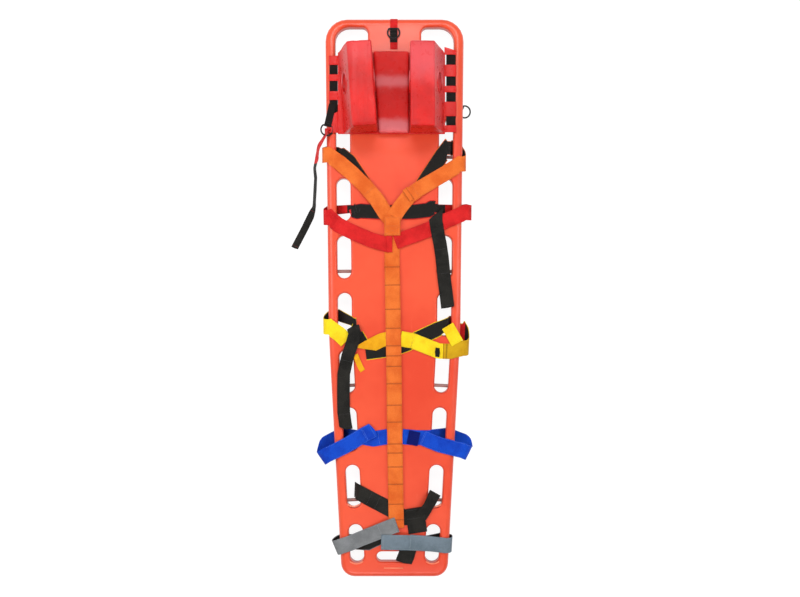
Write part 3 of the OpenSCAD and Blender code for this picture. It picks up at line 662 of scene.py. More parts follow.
def looped_strap(key, out, wrap, back, side, web, slot, tape=None, seed=0.0, tape_from=0.0, tape_after=0.0,
                 end_cut=(0, 0)):
    """A strap that runs out over the board, round the side rail and back through the handhold, with the black
    hook and loop band that is sewn on its inner face showing on the way back. The band starts at a share of
    the way to the end of the turn, plus some millimetres."""
    name = key.replace("_strap", "").replace("_loop", "")
    line = Line(out + wrap + back, side)
    line.turn = Line(out + wrap, side).length
    shape = waves(0.5, 70, seed)
    band(key + "_web", line, web, thick=1.3 if tape else WEB_T, height=0.3 if tape else 0, shape=shape,
         slot=slot, stands_for=(key,), cut=end_cut, step=3.0)
    if tape:
        band(name + "_tape_face", line, tape_black, width=WEB_W - 4, thick=0.7, height=-0.75, shape=shape,
             start=line.turn * tape_from + tape_after, slot="webbing_black",
             stands_for=(tape,) if tape in nodes else ())
        stitches(name + "_tape_seams", edge_rows(line, WEB_W / 2 - 4, line.turn, line.length - 3, -1.15),
                 thread_dark, slot="webbing_black")
    return line


# The free head strap

head_red = [(-219.5, 557, 65.4, 30), (-222, 549, 67, 52), (-225, 541, 71, 64), (-227, 534, 71.6, 70),
            (-232, 526, 69, 74), (-240, 514, 63, 72), (-250, 500, 52, 66), (-255, 486, 36, 58),
            (-258, 473, 20, 56), (-261, 461, 14, 58), (-264, 450, 13.5, 62)]
head_black = [(-264, 449, 13.5, 62), (-267, 430, 13.5, 64), (-264, 400, 13.5, 62), (-266, 360, 13.5, 60),
              (-268, 320, 13.5, 62), (-270, 300, 12.5, 56), (-275, 288, 9.5, 34), (-283, 270, 1.8, 0),
              (-300, 235, 1.6, 0), (-336, 166, 1.6, 0)]


def add_head_strap():
    lead = Line(head_red, -1).length
    line = Line(head_red + head_black[1:], -1)
    strap = band("head_strap", line, web_red, SMALL_W, SMALL_T, shape=waves(0.4, 40, 3), slot="webbing_red",
                 stands_for=("head_strap_red", "head_strap_black"), cut=(0, 5))
    strap.data.materials.append(web_black)
    uv = strap.data.uv_layers["UVMap"].data
    for face in strap.data.polygons:
        if uv[face.loop_start].uv.y > lead * 0.001:
            face.material_index = 1
    fold = line.nearest(-272, 290)
    rows = cross_rows(line, 10, (lead - 3, lead - 14, fold, line.length - 9), 0.8)
    seams = stitches("head_strap_seams", rows, thread_red, 3.2, slot="webbing_red")


# Harness

# Where the spine strap is sewn across, along the board in millimetres
SPINE_SEAM_YS = (101.13, 42.03, -36.77, -99.16, -158.26, -191.10, -225.57, -283.03,
                 -351.98, -407.80, -480.04, -509.59, -555.55, -611.37, -677.04, -729.58)


def add_spine():
    line = Line(flat((-6, 238, 0), (-7, 200, 0), (-8, 140, 0), (-8, 112, 1), (-7, 60, 2), (-5, -40, 2),
                     (-3, -160, 2), (-1, -300, 2), (0, -400, 2), (2, -520, 2), (4, -650, 2), (6, -740, 1),
                     (7, -757, 1)))
    seams = [line.nearest(0, y) for y in SPINE_SEAM_YS]
    marks = [0.0] + seams + [line.length]

    def puffed(across, along):
        """Between two cross seams the doubled webbing stands up a little; at a seam it is drawn down."""
        for low, high in zip(marks, marks[1:]):
            if low <= along <= high:
                span = max(high - low, 1.0)
                share = (along - low) / span
                rise = min(1.0, min(share, 1 - share) * span / 8)
                return 1.5 * rise ** 0.6 * (1 - (across / 27) ** 4) - 0.9 + 0.25 * noise.noise(
                    Vector((across / 18, along / 40, 2.0)))
        return 0.0

    band("spine_strap_web", line, web_orange, shape=puffed, cols=10, step=1.3, slot="webbing_orange",
         stands_for=("spine_strap",), seams=[(s, 1.7) for s in seams])
    rows = cross_rows(line, 22.5, seams, 0.62) + cross_rows(line, 22.5, [s - 3.4 for s in seams], 0.75)
    rows += edge_rows(line, 22.6, 20, line.length - 12, 1.0)
    stitches("spine_seams", rows, thread_orange, slot="webbing_orange")


def add_yoke():
    neck = Line(flat((-7, 267, 3), (-7, 240, 3), (-7, 205, 3)))
    band("yoke_neck_web", neck, web_orange, 52, shape=waves(0.4, 30, 8), slot="webbing_orange",
         stands_for=("yoke_neck",))
    rows = cross_rows(neck, 23, (4, 30, 34, 58), 1.15) + edge_rows(neck, 23, 4, 58, 1.15)
    rows += [(neck, (-23, 34), (23, 58), 1.15), (neck, (23, 34), (-23, 58), 1.15)]
    stitches("yoke_neck_seams", rows, thread_orange, slot="webbing_orange")
    arm = Line(flat((-2, 266, 2), (8, 282, 2), (22, 302, 1.6), (60, 350, 1)))
    band("yoke_arm_web", arm, web_orange, shape=waves(0.4, 40, 9), slot="webbing_orange",
         stands_for=("yoke_arm_right",))


def add_shoulders():
    out = flat((-10, 254, 1), (-30, 278, 1), (-60, 325, 2), (-95, 366, 2), (-140, 410, 2), (-180, 444, 1))
    left = looped_strap(
        "shoulder_strap_left", out, flip(round_rail(470, 488, 11, 0, 0.6)),
        flip(rise(488, 476, 0.5) + turned((150, 450, 0), (122, 408, 0), (88, 356, 0))),
        -1, web_orange, "webbing_orange", "shoulder_tape_left", 11, 0.62)
    out = flat((52, 338, 3), (64, 346, 3), (80, 358, 2), (115, 379, 1), (160, 405, 1), (190, 424, 1))
    right = looped_strap(
        "shoulder_strap_right", out, round_rail(440, 500, 8, 0),
        rise(496, 492, 0.9) + turned((154, 467, 0), (124, 421, 0), (91, 371, 0)),
        1, web_orange, "webbing_orange", "shoulder_tape_right", 12, 0.62)
    rows = cross_rows(left, SEWN, (6, 10, 120, 124)) + cross_rows(right, SEWN, (4, 20, 24))
    rows += edge_rows(left, HEM, 6, 180) + edge_rows(right, HEM, 6, 180)
    stitches("shoulder_seams", rows, thread_orange, slot="webbing_orange")
    tab = Line(flat((37.8, 334, 4), (50.8, 343, 4)))
    band("shoulder_tab", tab, web_orange, 44, 1.4, slot="webbing_orange", step=2,
         seams=[(0, 1.5), (15.8, 1.5)])


def add_chest():
    out = flat((-12, 172, 1), (-40, 180, 1), (-75, 190, 1), (-110, 204, 1), (-150, 222, 1), (-185, 240, 0))
    left = looped_strap(
        "chest_strap_left", out, flip(round_rail(264, 293, 9, 0, 0.6)),
        flip(over_rim(293, 291, 0.55) + turned((130, 285, 0), (110, 286, 0), (60, 283, 0), (18, 282, 0))),
        -1, web_red, "webbing_red", "chest_tape_left", 21, 1.0, 44)
    out = flat((2, 184, 1), (40, 198, 1), (80, 212, 1), (125, 230, 1), (165, 252, 1))
    right = looped_strap(
        "chest_strap_right", out, round_rail(280, 293, 28, 1, 0.7),
        over_rim(293, 296, 0.6) + turned((128, 297, 0), (110, 289, 0), (60, 283, 0), (-14, 282, 0)),
        1, web_red, "webbing_red", "chest_tape_right", 22, 1.0, 30)
    rows = cross_rows(left, SEWN, (5, 9)) + cross_rows(right, SEWN, (5, 9))
    rows += edge_rows(left, HEM, 5, 190) + edge_rows(right, HEM, 5, 190)
    stitches("chest_seams", rows, thread_red, slot="webbing_red")
    tail = Line(flat((138, 298, 2), (136, 276, 2), (136, 250, 2), (142, 215, 2.1), (150, 175, 1.2),
                     (156, 135, 1), (160, 95, 2), (164, 55, 1), (170, 10, 1), (175, -33, 2)))
    band("chest_tail_web", tail, web_black, WEB_W - 6, shape=waves(1.0, 45, 23), slot="webbing_black",
         stands_for=("chest_tail",), start=21, cut=(40, 6), seams=[(95, 3), (190, 4)])
    rows = cross_rows(tail, 19, (140, 220, tail.length - 8), 1.2)
    stitches("chest_tail_seams", rows, thread_dark, slot="webbing_black")
    keeper = Line(flat((-17, 204, 2), (-17, 180, 2), (-17, 150, 2)))
    band("chest_keeper_web", keeper, web_red, 20, shape=waves(0.4, 30, 24), slot="webbing_red",
         stands_for=("chest_keeper",))
    stitches("chest_keeper_seams", cross_rows(keeper, 7, (4, keeper.length - 4), 1.15), thread_red,
             slot="webbing_red")


def add_waist():
    leg = Line(flat((-20, -134, 1), (-45, -140, 1), (-75, -155, 1), (-104, -172, 2), (-124, -182, 2)), -1)
    band("waist_leg_left_web", leg, web_amber, WEB_W - 4, shape=waves(0.6, 40, 31), slot="webbing_yellow",
         stands_for=("waist_leg_left",), end=leg.length - 30, cut=(0, 60))
    out = flat((-158, -142, 1), (-180, -120, 1))
    looped_strap(
        "waist_loop_left", out, flip(round_rail(-96, -58, 13, 1, 0.8)),
        flip(over_rim(-76, -84, 0.6) + turned((128, -118, 0), (108, -152, 0))),
        -1, web_yellow, "webbing_yellow", "waist_tape_left", 32, 0.5)
    tail = Line(flat((-137, -92, 4), (-130, -118, 4), (-139, -150, 3), (-154, -192, 2), (-167, -250, 1),
                     (-168, -320, 1), (-167, -375, 1), (-162, -410, 2), (-158, -432, 3)), -1)
    band("waist_tail_left_web", tail, web_black, WEB_W - 8, shape=waves(0.9, 55, 33), slot="webbing_black",
         stands_for=("waist_tail_left",), cut=(12, -24))
    rows = cross_rows(tail, 18, (120, tail.length - 50, tail.length - 8), 1.2)
    stitches("waist_tail_seams", rows, thread_dark, slot="webbing_black")
    flap = Line(flat((-129, -186, 1), (-122, -204, 1), (-112, -228, 0), (-104, -240, 0)), -1)
    band("waist_flap_left_web", flap, web_amber, 18, shape=waves(0.5, 20, 34), slot="webbing_yellow",
         stands_for=("waist_flap_left",))
    out = flat((20, -134, 1), (60, -141, 1), (105, -159, 1), (146, -175, 1), (180, -176, 0))
    back = turned((140, -104, 0), (110, -118, 0), (76, -134, 0), (40, -152, 0), (5, -165, 0), (-35, -172, 0),
                  (-95, -180, 0))
    right = looped_strap(
        "waist_strap_right", out, round_rail(-166, -80, 24, 0, 0.8), rise(-80, -91, 0.8) + back,
        1, web_yellow, "webbing_yellow", "waist_tape_right", 35, 0.62)
    shape = waves(0.5, 70, 35)
    band("waist_lining_right", right, web_red, width=WEB_W - 5, thick=0.5, height=-1.35, shape=shape,
         start=right.turn * 0.8, end=right.turn + 6, slot="webbing_red")
    outer = right.nearest(158, -176)
    band("waist_outer_right", right, web_ochre, width=WEB_W + 0.4, thick=0.5, height=1.2, shape=shape,
         start=outer, end=right.turn * 0.78, slot="webbing_yellow", seams=[(outer, 2), (outer + 12, 1.5)])
    patch = right.nearest(142, -176)
    label = Line([(132.5, -177.5, lay(1) + 1.7, 0), (149.5, -180.5, lay(1) + 1.7, 0)])
    band("waist_patch_right", label, tape_black, 30, 0.6, cut=(8, 8), slot="black_tape", step=2)
    keeper = Line(flat((174, -92, 1), (186, -112, 1), (196, -130, 1), (207, -149, 1)))
    band("waist_keeper_web", keeper, web_yellow, WEB_W - 8, shape=waves(0.5, 30, 36), slot="webbing_yellow",
         stands_for=("waist_keeper_right",))
    rows = cross_rows(right, SEWN, (38, 42, patch - 12, patch + 10)) + edge_rows(right, HEM, 5, patch - 12)
    rows += cross_rows(leg, 20, (5, 9), 1.2) + cross_rows(keeper, 18, (4, keeper.length - 4), 1.15)
    stitches("waist_seams", rows, thread_yellow, slot="webbing_yellow")


def add_thighs():
    out = flat((-66, -432, 2), (-100, -450, 1), (-140, -474, 1), (-168, -490, 1))
    left = looped_strap(
        "thigh_strap_left", out, flip(loose_rail(-516, -456, 42, 1, -34, 0.9)),
        flip(over_rim(-458, -460, 0.9) + turned((70, -464, 0), (22, -456, 0))),
        -1, web_blue, "webbing_blue", seed=41, end_cut=(14, 0))
    out = flat((88, -458, 1), (112, -468, 1), (150, -483, 1))
    right = looped_strap(
        "thigh_strap_right", out, loose_rail(-502, -456, 44, 1, -26, 0.9),
        over_rim(-456, -458, 0.9) + turned((70, -460, 0), (26, -456, 0)),
        1, web_blue, "webbing_blue", seed=42)
    patch = Line(flat((44, -457, 1), (62, -461, 1), (80, -465, 1)))
    band("thigh_patch_face", patch, tape_navy, 46, slot="hook_tape_blue", stands_for=("thigh_patch_right",))
    rows = cross_rows(left, SEWN, (8, 34, 38), 1.15) + cross_rows(right, SEWN, (5, 9), 1.15)
    rows += edge_rows(left, HEM, 5, 170, 1.1) + edge_rows(right, HEM, 5, 170, 1.1)
    rows += cross_rows(left, SEWN, (left.length - 30,), -1.15)
    rows += cross_rows(right, SEWN, (right.length - 22,), -1.15)
    stitches("thigh_seams", rows, thread_blue, slot="webbing_blue")


def add_shins():
    out = flat((8, -744, 3), (-20, -754, 3), (-60, -771, 2), (-110, -791, 1), (-145, -806, 1))
    left = looped_strap(
        "shin_strap_left", out, flip(loose_rail(-816, -812, 14, 1, -23)),
        flip(over_rim(-806, -804) + turned((44, -784, 0))),
        -1, web_grey, "webbing_grey", "shin_return_left", 51)
    out = flat((-44, -801, 4), (-10, -802, 4), (40, -803, 3), (90, -806, 2), (125, -809, 1))
    right = looped_strap(
        "shin_strap_right", out, round_rail(-814, -808, 6, 1), over_rim(-808, -806) + turned((50, -803, 0)),
        1, web_slate, "webbing_grey", "shin_return_right", 52)
    rows = cross_rows(left, SEWN, (5, 9, 60), 1.15) + cross_rows(right, SEWN, (4, 8, 96), 1.15)
    rows += edge_rows(left, HEM, 5, 165, 1.1) + edge_rows(right, HEM, 5, 165, 1.1)
    stitches("shin_seams", rows, thread_grey, slot="webbing_grey")


def add_foot_straps():
    cross = Line([(-132, -634, 40, -60), (-124, -636, 58, -50), (-114, -642, lay(0.4), -10)]
                 + flat((-85, -658, 0), (-20, -692, 0), (30, -722, 0), (75, -724, 0)))
    band("foot_band_web", cross, web_black, shape=waves(0.4, 60, 53), slot="webbing_black",
         stands_for=("foot_band",))
    block = Line(flat((64, -690, 1), (68, -715, 1), (73, -745, 1), (77, -772, 1)))
    band("foot_block_web", block, web_black, WEB_W + 12, shape=waves(0.6, 30, 54), slot="webbing_black",
         stands_for=("foot_band_block",), cols=10)
    loose = Line([(84, -722, lay(2), 0), (98, -702, lay(2) + 4, 15), (112, -680, lay(2) + 10, 30),
                  (123, -660, lay(2) + 6, 20), (134, -640, lay(1), 0)])
    band("foot_cross_web", loose, web_black, WEB_W - 10, shape=waves(0.6, 30, 56), slot="webbing_black")
    tail = Line(flat((56, -790, 1), (48, -815, 1), (40, -843, 1), (34, -858, 0), (29, -872, 0)))
    band("foot_tail_web", tail, web_black, WEB_W + 4, shape=waves(0.5, 40, 55), slot="webbing_black",
         stands_for=("foot_tail",), cut=(0, 10))
    rows = cross_rows(cross, 22, (70, 100), 1.15) + cross_rows(block, 28, (6, 34), 1.15)
    stitches("foot_seams", rows, thread_dark, slot="webbing_black")


def add_foot_reliefs():
    """Shallow raised mouldings on the panel: an arc behind each foot handhold, a bar behind the foot slot."""
    bead, height = 2.3, TOP_Z - 0.6
    bm = bmesh.new()
    for side in (-1, 1):
        for y, radius, half_angle in ((-632, 30, 38), (-819, 32, 42)):
            x = side * (half_w(y) - RAIL_W - HOLD_W / 2)
            before = set(bm.verts)
            bmesh.ops.create_circle(bm, segments=8, radius=bead, cap_ends=True)
            ring = [v for v in bm.verts if v not in before]
            bmesh.ops.rotate(bm, verts=ring, cent=(0, 0, 0), matrix=Matrix.Rotation(math.pi / 2, 3, "X"))
            bmesh.ops.translate(bm, verts=ring, vec=(radius, 0, 0))
            first = math.radians(-90 - half_angle)
            bmesh.ops.rotate(bm, verts=ring, cent=(0, 0, 0), matrix=Matrix.Rotation(first, 3, "Z"))
            faces = [f for f in bm.faces if f.verts[0] in ring]
            bmesh.ops.spin(bm, geom=faces, cent=(0, 0, 0), axis=(0, 0, 1), angle=math.radians(2 * half_angle),
                           steps=20, use_merge=False, use_normal_flip=False, use_duplicate=False)
            made = [v for v in bm.verts if v not in before]
            bmesh.ops.translate(bm, verts=made, vec=(x, y - 24, height))
    lying = Matrix.Translation((-3, -889, height)) @ Matrix.Rotation(math.pi / 2, 4, "Y")
    bmesh.ops.create_cone(bm, cap_ends=True, segments=10, radius1=bead, radius2=bead, depth=64, matrix=lying)
    to_metres(bm)
    bmesh.ops.recalc_face_normals(bm, faces=bm.faces[:])
    # painted highlight: the mouldings take the paler plastic, for the light caught along them
    piece(bm, "foot_reliefs", ridge_highlight_plastic, "board", "board")


# Head immobiliser

BASE_Y, BASE_LEN, BASE_Z, BASE_T = 672, 268, 64.2, 10
BLOCK_W, BLOCK_TOP, BLOCK_H, BLOCK_LEN, BLOCK_LEAN, BLOCK_FOOT = 113, 77, 147, 266, 0.5, 12
HOOK_T = 3
BLOCK_Z = BASE_Z + BASE_T + GAP
EAR_D, EAR_Y, EAR_Z = 66, 20, 74
LEFT_TURN = math.radians(4)
BLOCK_LEFT_X, BLOCK_RIGHT_X = -119, 105.5
PAD_H, ROLL_Y, ROLL_LEN = 22, 704, 138
BASE_LEFT_X, BASE_RIGHT_X = -186, 166
FLAP_Z = 67.6
STRIP_Z, STRIP_RISE = 65.1, 3.1


def extruded(bm, outline, low, high, axis="Z"):
    """A closed solid from a flat outline, drawn out along an axis; in millimetres."""
    def spot(a, b, c):
        return (a, b, c) if axis == "Z" else (a, c, b)
    face = bm.faces.new([bm.verts.new(spot(x, y, low)) for x, y in outline])
    grown = bmesh.ops.extrude_face_region(bm, geom=[face])
    moved = [v for v in grown["geom"] if isinstance(v, bmesh.types.BMVert)]
    bmesh.ops.translate(bm, verts=moved, vec=Vector(spot(0, 0, high - low)))
    bmesh.ops.recalc_face_normals(bm, faces=bm.faces[:])


def rounded(bm, amount, segments=4, sharper_than=25):
    least = math.radians(sharper_than)
    edges = [e for e in bm.edges if len(e.link_faces) == 2 and e.calc_face_angle() > least]
    bmesh.ops.bevel(bm, geom=edges, offset=amount, offset_type="OFFSET", segments=segments, profile=0.5,
                    affect="EDGES", clamp_overlap=True, material=-1)


def remeshed(bm, voxel, cutter=None, relax=6):
    """The solid as an even skin of small faces, with an opening cut through it first; a bmesh in metres."""
    to_metres(bm)
    mesh = bpy.data.meshes.new("raw")
    bm.to_mesh(mesh)
    bm.free()
    raw = bpy.data.objects.new("raw", mesh)
    bpy.context.scene.collection.objects.link(raw)
    if cutter:
        cut = raw.modifiers.new("cut", "BOOLEAN")
        cut.operation = "DIFFERENCE"
        cut.object = cutter
        cut.solver = "EXACT"
    skin = raw.modifiers.new("skin", "REMESH")
    skin.mode = "VOXEL"
    skin.voxel_size = voxel * 0.001
    soft = raw.modifiers.new("soft", "SMOOTH")
    soft.iterations = relax
    soft.factor = 0.5
    shown = raw.evaluated_get(bpy.context.evaluated_depsgraph_get())
    even = bpy.data.meshes.new_from_object(shown)
    made = bmesh.new()
    made.from_mesh(even)
    bpy.data.objects.remove(raw)
    bpy.data.meshes.remove(even)
    if cutter:
        bpy.data.objects.remove(cutter)
    return made


def ear_cutter():
    bm = bmesh.new()
    radius = EAR_D / 2000
    through = Matrix.Translation(mm(0, EAR_Y, EAR_Z)) @ Matrix.Rotation(math.pi / 2, 4, "Y")
    bmesh.ops.create_cone(bm, cap_ends=True, segments=64, radius1=radius, radius2=radius, depth=0.3,
                          matrix=through)
    mesh = bpy.data.meshes.new("ear_cutter")
    bm.to_mesh(mesh)
    bm.free()
    made = bpy.data.objects.new("ear_cutter", mesh)
    bpy.context.scene.collection.objects.link(made)
    made.hide_render = True
    return made


def block_place(left):
    if left:
        return (Matrix.Translation(mm(BLOCK_LEFT_X, BASE_Y, BLOCK_Z)) @ Matrix.Rotation(LEFT_TURN, 4, "Z")
                @ Matrix.Diagonal((-1, 1, 1, 1)))
    return Matrix.Translation(mm(BLOCK_RIGHT_X, BASE_Y, BLOCK_Z))


def add_block(left):
    """A foam block with its cover; the left one is the right one mirrored and turned a little."""
    key = "left" if left else "right"
    half = BLOCK_W / 2
    inner_top, outer_top = -half + BLOCK_LEAN, -half + BLOCK_LEAN + BLOCK_TOP
    add_foam(left, key, half, inner_top, outer_top)
    add_ear_lips(left, key, half, inner_top, outer_top)
    add_fastener(left, key, half)


def add_foam(left, key, half, inner_top, outer_top):
    bm = bmesh.new()
    corners = [(-half + 0.6, 0.6), (half - 0.6, 0.6), (half - 0.6, BLOCK_FOOT),
               (outer_top + 1, BLOCK_H - 0.2), (inner_top, BLOCK_H - 0.2)]
    extruded(bm, corners, -BLOCK_LEN / 2 + 0.4, BLOCK_LEN / 2 + 2.5, "Y")
    rounded(bm, 4)
    skin = remeshed(bm, 3.2, ear_cutter(), 5)
    seed = 3.0 if left else 9.0
    for v in skin.verts:
        x, y, z = v.co * 1000
        folds = (1.5 if left else 0.35) * noise.noise(Vector((x / 17, y / 210, seed)))
        streak = folds if z > 60 else 0.4 * noise.noise(Vector((x / 30, y / 50, z / 30 + seed)))
        dent = noise.noise(Vector((x / 60, y / 60, z / 60 + seed)))
        sink = 0.9 * streak + 0.9 * dent
        v.co += v.normal * (sink - 0.5) * 0.001
        v.co.z = max(v.co.z, 0.0006)
    place = block_place(left) @ Matrix.Translation(mm(0, 0, HOOK_T))
    bmesh.ops.transform(skin, matrix=place, verts=skin.verts[:])
    if left:
        bmesh.ops.reverse_faces(skin, faces=skin.faces[:])
    cover = vinyl_block_left if left else vinyl_block_right
    made = piece(skin, f"head_block_{key}_foam", cover, f"block_{key}", "coated_red", (f"head_block_{key}",))


def add_ear_lips(left, key, half, inner_top, outer_top):
    """The rolled edges of the ear port, one on each face of the block."""
    lips = bmesh.new()
    for out in (-1, 1):
        slope = 0 if out < 0 else math.atan((half - outer_top) / (BLOCK_H - BLOCK_FOOT))
        centre = (inner_top - BLOCK_LEAN * (1 - EAR_Z / BLOCK_H) if out < 0
                  else half - (EAR_Z - BLOCK_FOOT) * math.tan(slope))
        ring = bmesh.ops.create_circle(lips, segments=10, radius=0.0024, cap_ends=False)["verts"]
        bmesh.ops.rotate(lips, verts=ring, cent=(0, 0, 0), matrix=Matrix.Rotation(math.pi / 2, 3, "X"))
        bmesh.ops.translate(lips, verts=ring, vec=mm(EAR_D / 2 + 0.6, 0, 0))
        edges = [e for e in lips.edges if e.verts[0] in ring and e.verts[1] in ring]
        bmesh.ops.spin(lips, geom=ring + edges, cent=(0, 0, 0), axis=(0, 0, 1), angle=2 * math.pi,
                       steps=48, use_merge=True, use_normal_flip=False, use_duplicate=False)
        island = {v for v in lips.verts if not v.tag}
        upright = Matrix.Rotation(math.pi / 2 - slope, 4, "Y")
        tilt = Matrix.Translation(mm(centre, EAR_Y, EAR_Z + HOOK_T)) @ upright
        stretch = Matrix.Diagonal((1 / math.cos(slope), 1, 1, 1))
        bmesh.ops.transform(lips, matrix=tilt @ stretch, verts=list(island))
        for v in island:
            v.tag = True
    bmesh.ops.transform(lips, matrix=block_place(left), verts=lips.verts[:])
    bmesh.ops.remove_doubles(lips, verts=lips.verts[:], dist=0.00002)
    bmesh.ops.recalc_face_normals(lips, faces=lips.faces[:])
    piece(lips, f"ear_port_lips_{key}", vinyl_pad, f"block_{key}", "coated_red")


def add_fastener(left, key, half):
    """The sheet of hooks under a block."""
    margin = 8
    x, y = half - margin, BLOCK_LEN / 2 - margin
    strip = bmesh.new()
    extruded(strip, [(-x, -y), (x, -y), (x, y), (-x, y)], GAP / 2, HOOK_T - GAP / 2)
    rounded(strip, 0.8, 2)
    to_metres(strip)
    uv = strip.loops.layers.uv.new("UVMap")
    for face in strip.faces:
        for loop in face.loops:
            loop[uv].uv = loop.vert.co.xy
    bmesh.ops.transform(strip, matrix=block_place(left), verts=strip.verts[:])
    if left:
        bmesh.ops.reverse_faces(strip, faces=strip.faces[:])
    piece(strip, f"block_fastener_{key}_face", tape_hook, f"block_{key}", "hook_tape",
          (f"block_fastener_{key}",), sharp=40)


def add_pad():
    clear = 2
    low, high = BASE_Y - BASE_LEN / 2 + 1, BASE_Y + BASE_LEN / 2 - 1
    right = BLOCK_RIGHT_X - BLOCK_W / 2 - clear
    mid = BLOCK_LEFT_X + BLOCK_W / 2 / math.cos(LEFT_TURN) + clear
    slope = math.tan(LEFT_TURN) * BLOCK_LEN / 2
    bm = bmesh.new()
    outline = [(mid + slope + 0.5, low), (right - 0.5, low), (right - 0.5, high), (mid - slope + 0.5, high)]
    extruded(bm, outline, BLOCK_Z + 0.4, BLOCK_Z + PAD_H - 0.6)
    rounded(bm, 5, 4)
    skin = remeshed(bm, 3, None, 6)
    for v in skin.verts:
        x, y, z = v.co * 1000
        if z > BLOCK_Z + 6:
            roll = -1.5 * math.sin(2 * math.pi * (y - ROLL_Y) / ROLL_LEN)
            v.co.z += (roll - 1.0 + 0.7 * noise.noise(Vector((x / 40, y / 55, 4)))) * 0.001
    made = piece(skin, "head_pad_foam", vinyl_pad, "board", "coated_red_pad", ("head_pad",))


def add_base():
    low, high = BASE_Y - BASE_LEN / 2, BASE_Y + BASE_LEN / 2
    bm = bmesh.new()
    corners = [(BASE_LEFT_X, low), (BASE_RIGHT_X, low), (BASE_RIGHT_X, high), (BASE_LEFT_X, high)]
    extruded(bm, corners, BASE_Z, BASE_Z + BASE_T)
    rounded(bm, 2.6, 4)
    to_metres(bm)
    made = piece(bm, "immobiliser_plate", vinyl, "board", "coated_red", ("immobiliser_base",), sharp=60)
    weighted = made.modifiers.new("weighted", "WEIGHTED_NORMAL")
    weighted.keep_sharp = True
    bm = bmesh.new()
    left = [(542, 542, 614, 596), (650, 650, 679, 679), (713, 713, 734.5, 734.5), (765.5, 765.5, 796, 796)]
    right = [(544, 544, 567, 567), (597, 597, 644.5, 644.5), (675.5, 675.5, 696.5, 696.5),
             (727.5, 727.5, 766, 766), (799, 799, 825, 812)]
    for root, tip, rows in ((BASE_LEFT_X + 2, -216, left), (BASE_RIGHT_X - 2, 203, right)):
        for y0, y0_tip, y1, y1_tip in rows:
            count = max(3, round((y1 - y0) / 5))
            grid = bmesh.ops.create_grid(bm, x_segments=10, y_segments=count, size=0.5)["verts"]
            for v in grid:
                share, row = v.co.x + 0.5, v.co.y + 0.5
                first = y0 + (y0_tip - y0) * share
                last = y1 + (y1_tip - y1) * share
                arch = 1.6 * math.sin(math.pi * share) + 0.5 * noise.noise(Vector((share * 3, row * 2, y0)))
                v.co = mm(root + (tip - root) * share, first + (last - first) * row, FLAP_Z + arch)
    thicken(piece(bm, "immobiliser_flaps", vinyl, "board", "coated_red"), 2.6, 0.9, 3, 50)


def add_side_strips():
    def woven(x, low, high, windows):
        """A strip that dips under each finger of the flap and rises in each window."""
        made, y = [], low
        while y <= high + 0.1:
            rise = max(math.exp(-(((y - mid) / (size * 0.36)) ** 2)) for mid, size in windows)
            made.append((x, y, STRIP_Z + STRIP_RISE * rise, 0))
            y += 6
        return made
    line = Line(woven(-200.2, 598, 786, [(750, 31), (696, 34), (632, 36)]))
    band("side_strip_left_web", line, tape_black, 27, 1.2, slot="black_tape", stands_for=("side_strip_left",))
    line = Line(woven(185.5, 554, 808, [(783, 34), (712, 31), (660, 31), (582, 30)]))
    band("side_strip_right_web", line, tape_black, 31, 1.2, slot="black_tape",
         stands_for=("side_strip_right",))


# Rings and tabs

WIRE = 3.4
LOOP_R = WIRE / 2 + 0.5 + SMALL_T / 2


def ring_band(name, route, place, stands_for):
    """A tab round a ring's bar: its stations are (x, z) in the plane across the bar."""
    line = Line([(x, 0, z, 0) for x, z in route])
    line.keep_square(Vector((0, 1, 0)))
    turn = place.to_3x3()
    line.points = [place @ p for p in line.points]
    line.spread = [turn @ v for v in line.spread]
    line.normals = [turn @ v for v in line.normals]
    band(name, line, tape_black, SMALL_W, SMALL_T, slot="black_tape", stands_for=(stands_for,), step=2.0)
    return line


def bar_wrap():
    """Half a turn round a ring's bar, from above it to below it."""
    turns = [math.radians(a) for a in range(0, 181, 20)]
    return [(-LOOP_R * math.sin(a), LOOP_R * math.cos(a)) for a in turns]


def add_rings():
    for node in ("top_ring", "ring_left", "ring_right"):
        polished(node, metal, node + "_body", "ring_metal", 40, 0.9)
    top = (Matrix.Translation((-3, BOARD_LEN / 2 - 36, TOP_Z + GAP + 2 * SMALL_T + GAP + LOOP_R))
           @ Matrix.Rotation(math.radians(90), 4, "Z"))
    route = [(-44, -LOOP_R)] + [(-x, z) for x, z in reversed(bar_wrap())] + [(-9, LOOP_R)]
    line = ring_band("top_ring_tab_web", route, top, "top_ring_tab")
    left = (Matrix.Translation((-219.5, 565.5, TOP_Z + 2 * GAP + LOOP_R + SMALL_T / 2))
            @ Matrix.Rotation(math.radians(77), 4, "Z"))
    route = [(72, LOOP_R)] + bar_wrap() + [(9, -LOOP_R)]
    line_left = ring_band("ring_tab_left_web", route, left, "ring_tab_left")
    right = Matrix.Translation((224, 627, 14.5)) @ Matrix.Rotation(math.radians(154), 4, "Z")
    route = [(46, 49.7), (46, 30), (45, 14), (41, 6), (34, 3.4), (20, LOOP_R)] + bar_wrap() + [(14, -LOOP_R)]
    ring_band("ring_tab_right_web", route, right, "ring_tab_right")
    stitches("ring_tab_seams", cross_rows(line_left, 9, (58, 64), 0.75) + cross_rows(line, 9, (8, 30), -0.75),
             thread_dark, 3.0, slot="black_tape")


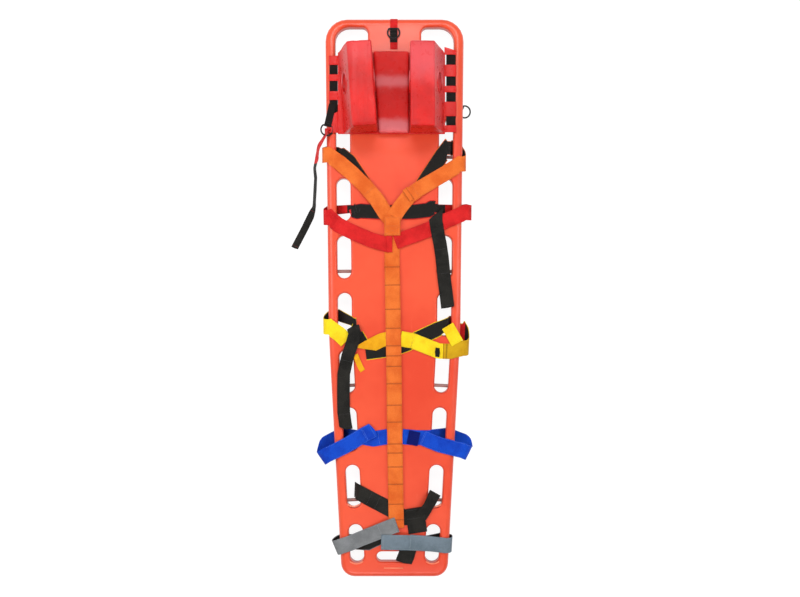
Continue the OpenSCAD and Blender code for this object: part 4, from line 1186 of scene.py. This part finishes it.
def add_top_strap():
    """The strap that goes over the head end of the board and a little way under it."""
    x, edge, off = -2, BOARD_LEN / 2, 1.2 + SMALL_T / 2
    stations = [(x, BASE_Y + BASE_LEN / 2 + 12, TOP_Z + off), (x, edge - EDGE_TOP - 4, TOP_Z + off)]
    corners = ((EDGE_TOP, TOP_Z - EDGE_TOP, range(0, 91, 30)),
               (EDGE_BOTTOM, LIFT + EDGE_BOTTOM, range(90, 181, 30)))
    for radius, centre_z, turns in corners:
        for a in map(math.radians, turns):
            stations.append((x, edge - radius + (radius + off) * math.sin(a),
                             centre_z + (radius + off) * math.cos(a)))
    stations.append((x, edge - 60, LIFT - off))
    pairs = zip(stations, stations[1:])
    apart = stations[:1] + [b for a, b in pairs if (Vector(b) - Vector(a)).length > 0.5]
    line = Line([(*s, 0) for s in apart])
    line.keep_square(Vector((1, 0, 0)))
    band("top_strap_web", line, web_red, SMALL_W, SMALL_T, slot="webbing_red", stands_for=("top_strap",))
    stitches("top_strap_seams", cross_rows(line, 9, (5, 9, 13), 0.75), thread_red, 3.0, slot="webbing_red")


add_camera()
add_head_strap()
polished("board_shell", plastic, "board", "board")
polished("clip_pins", pins, "board", "pins")
add_base()
add_side_strips()
add_block(True)
add_block(False)
add_pad()
add_rings()
add_top_strap()
add_spine()
add_yoke()
add_shoulders()
add_chest()
add_waist()
add_thighs()
add_shins()
add_foot_straps()
add_foot_reliefs()

floor = bmesh.new()
bmesh.ops.create_grid(floor, x_segments=2, y_segments=2, size=8)
ground = bpy.data.meshes.new("floor")
floor.to_mesh(ground)
floor.free()
ground.materials.append(floor_finish())
studio = bpy.data.objects.new("floor", ground)
bpy.context.scene.collection.objects.link(studio)

add_softbox("key", (0.0, 1.9, 2.9), (0, 0.9, 0), (1.7, 0.8), 40)
add_softbox("fill_left", (-2.4, 0.5, 2.3), (0, 0.3, 0), (1.2, 2.2), 42)
add_softbox("fill_right", (2.4, 0.1, 2.3), (0, 0.2, 0), (1.2, 2.2), 32)
add_softbox("low", (0.0, -2.3, 2.2), (0, 0.4, 0.1), (1.6, 0.8), 24)

scene = bpy.context.scene
scene.view_settings.view_transform = "Standard"
world = bpy.data.worlds.new("world")
scene.world = world
world.use_nodes = True
tree = world.node_tree
background = tree.nodes["Background"]
background.inputs["Color"].default_value = (1, 1, 1, 1)
background.inputs["Strength"].default_value = 0.36
bright = tree.nodes.new("ShaderNodeBackground")
bright.inputs["Color"].default_value = (1, 1, 1, 1)
bright.inputs["Strength"].default_value = 1.0
path = tree.nodes.new("ShaderNodeLightPath")
mixed = tree.nodes.new("ShaderNodeMixShader")
tree.links.new(path.outputs["Is Camera Ray"], mixed.inputs[0])
tree.links.new(background.outputs[0], mixed.inputs[1])
tree.links.new(bright.outputs[0], mixed.inputs[2])
tree.links.new(mixed.outputs[0], tree.nodes["World Output"].inputs["Surface"])
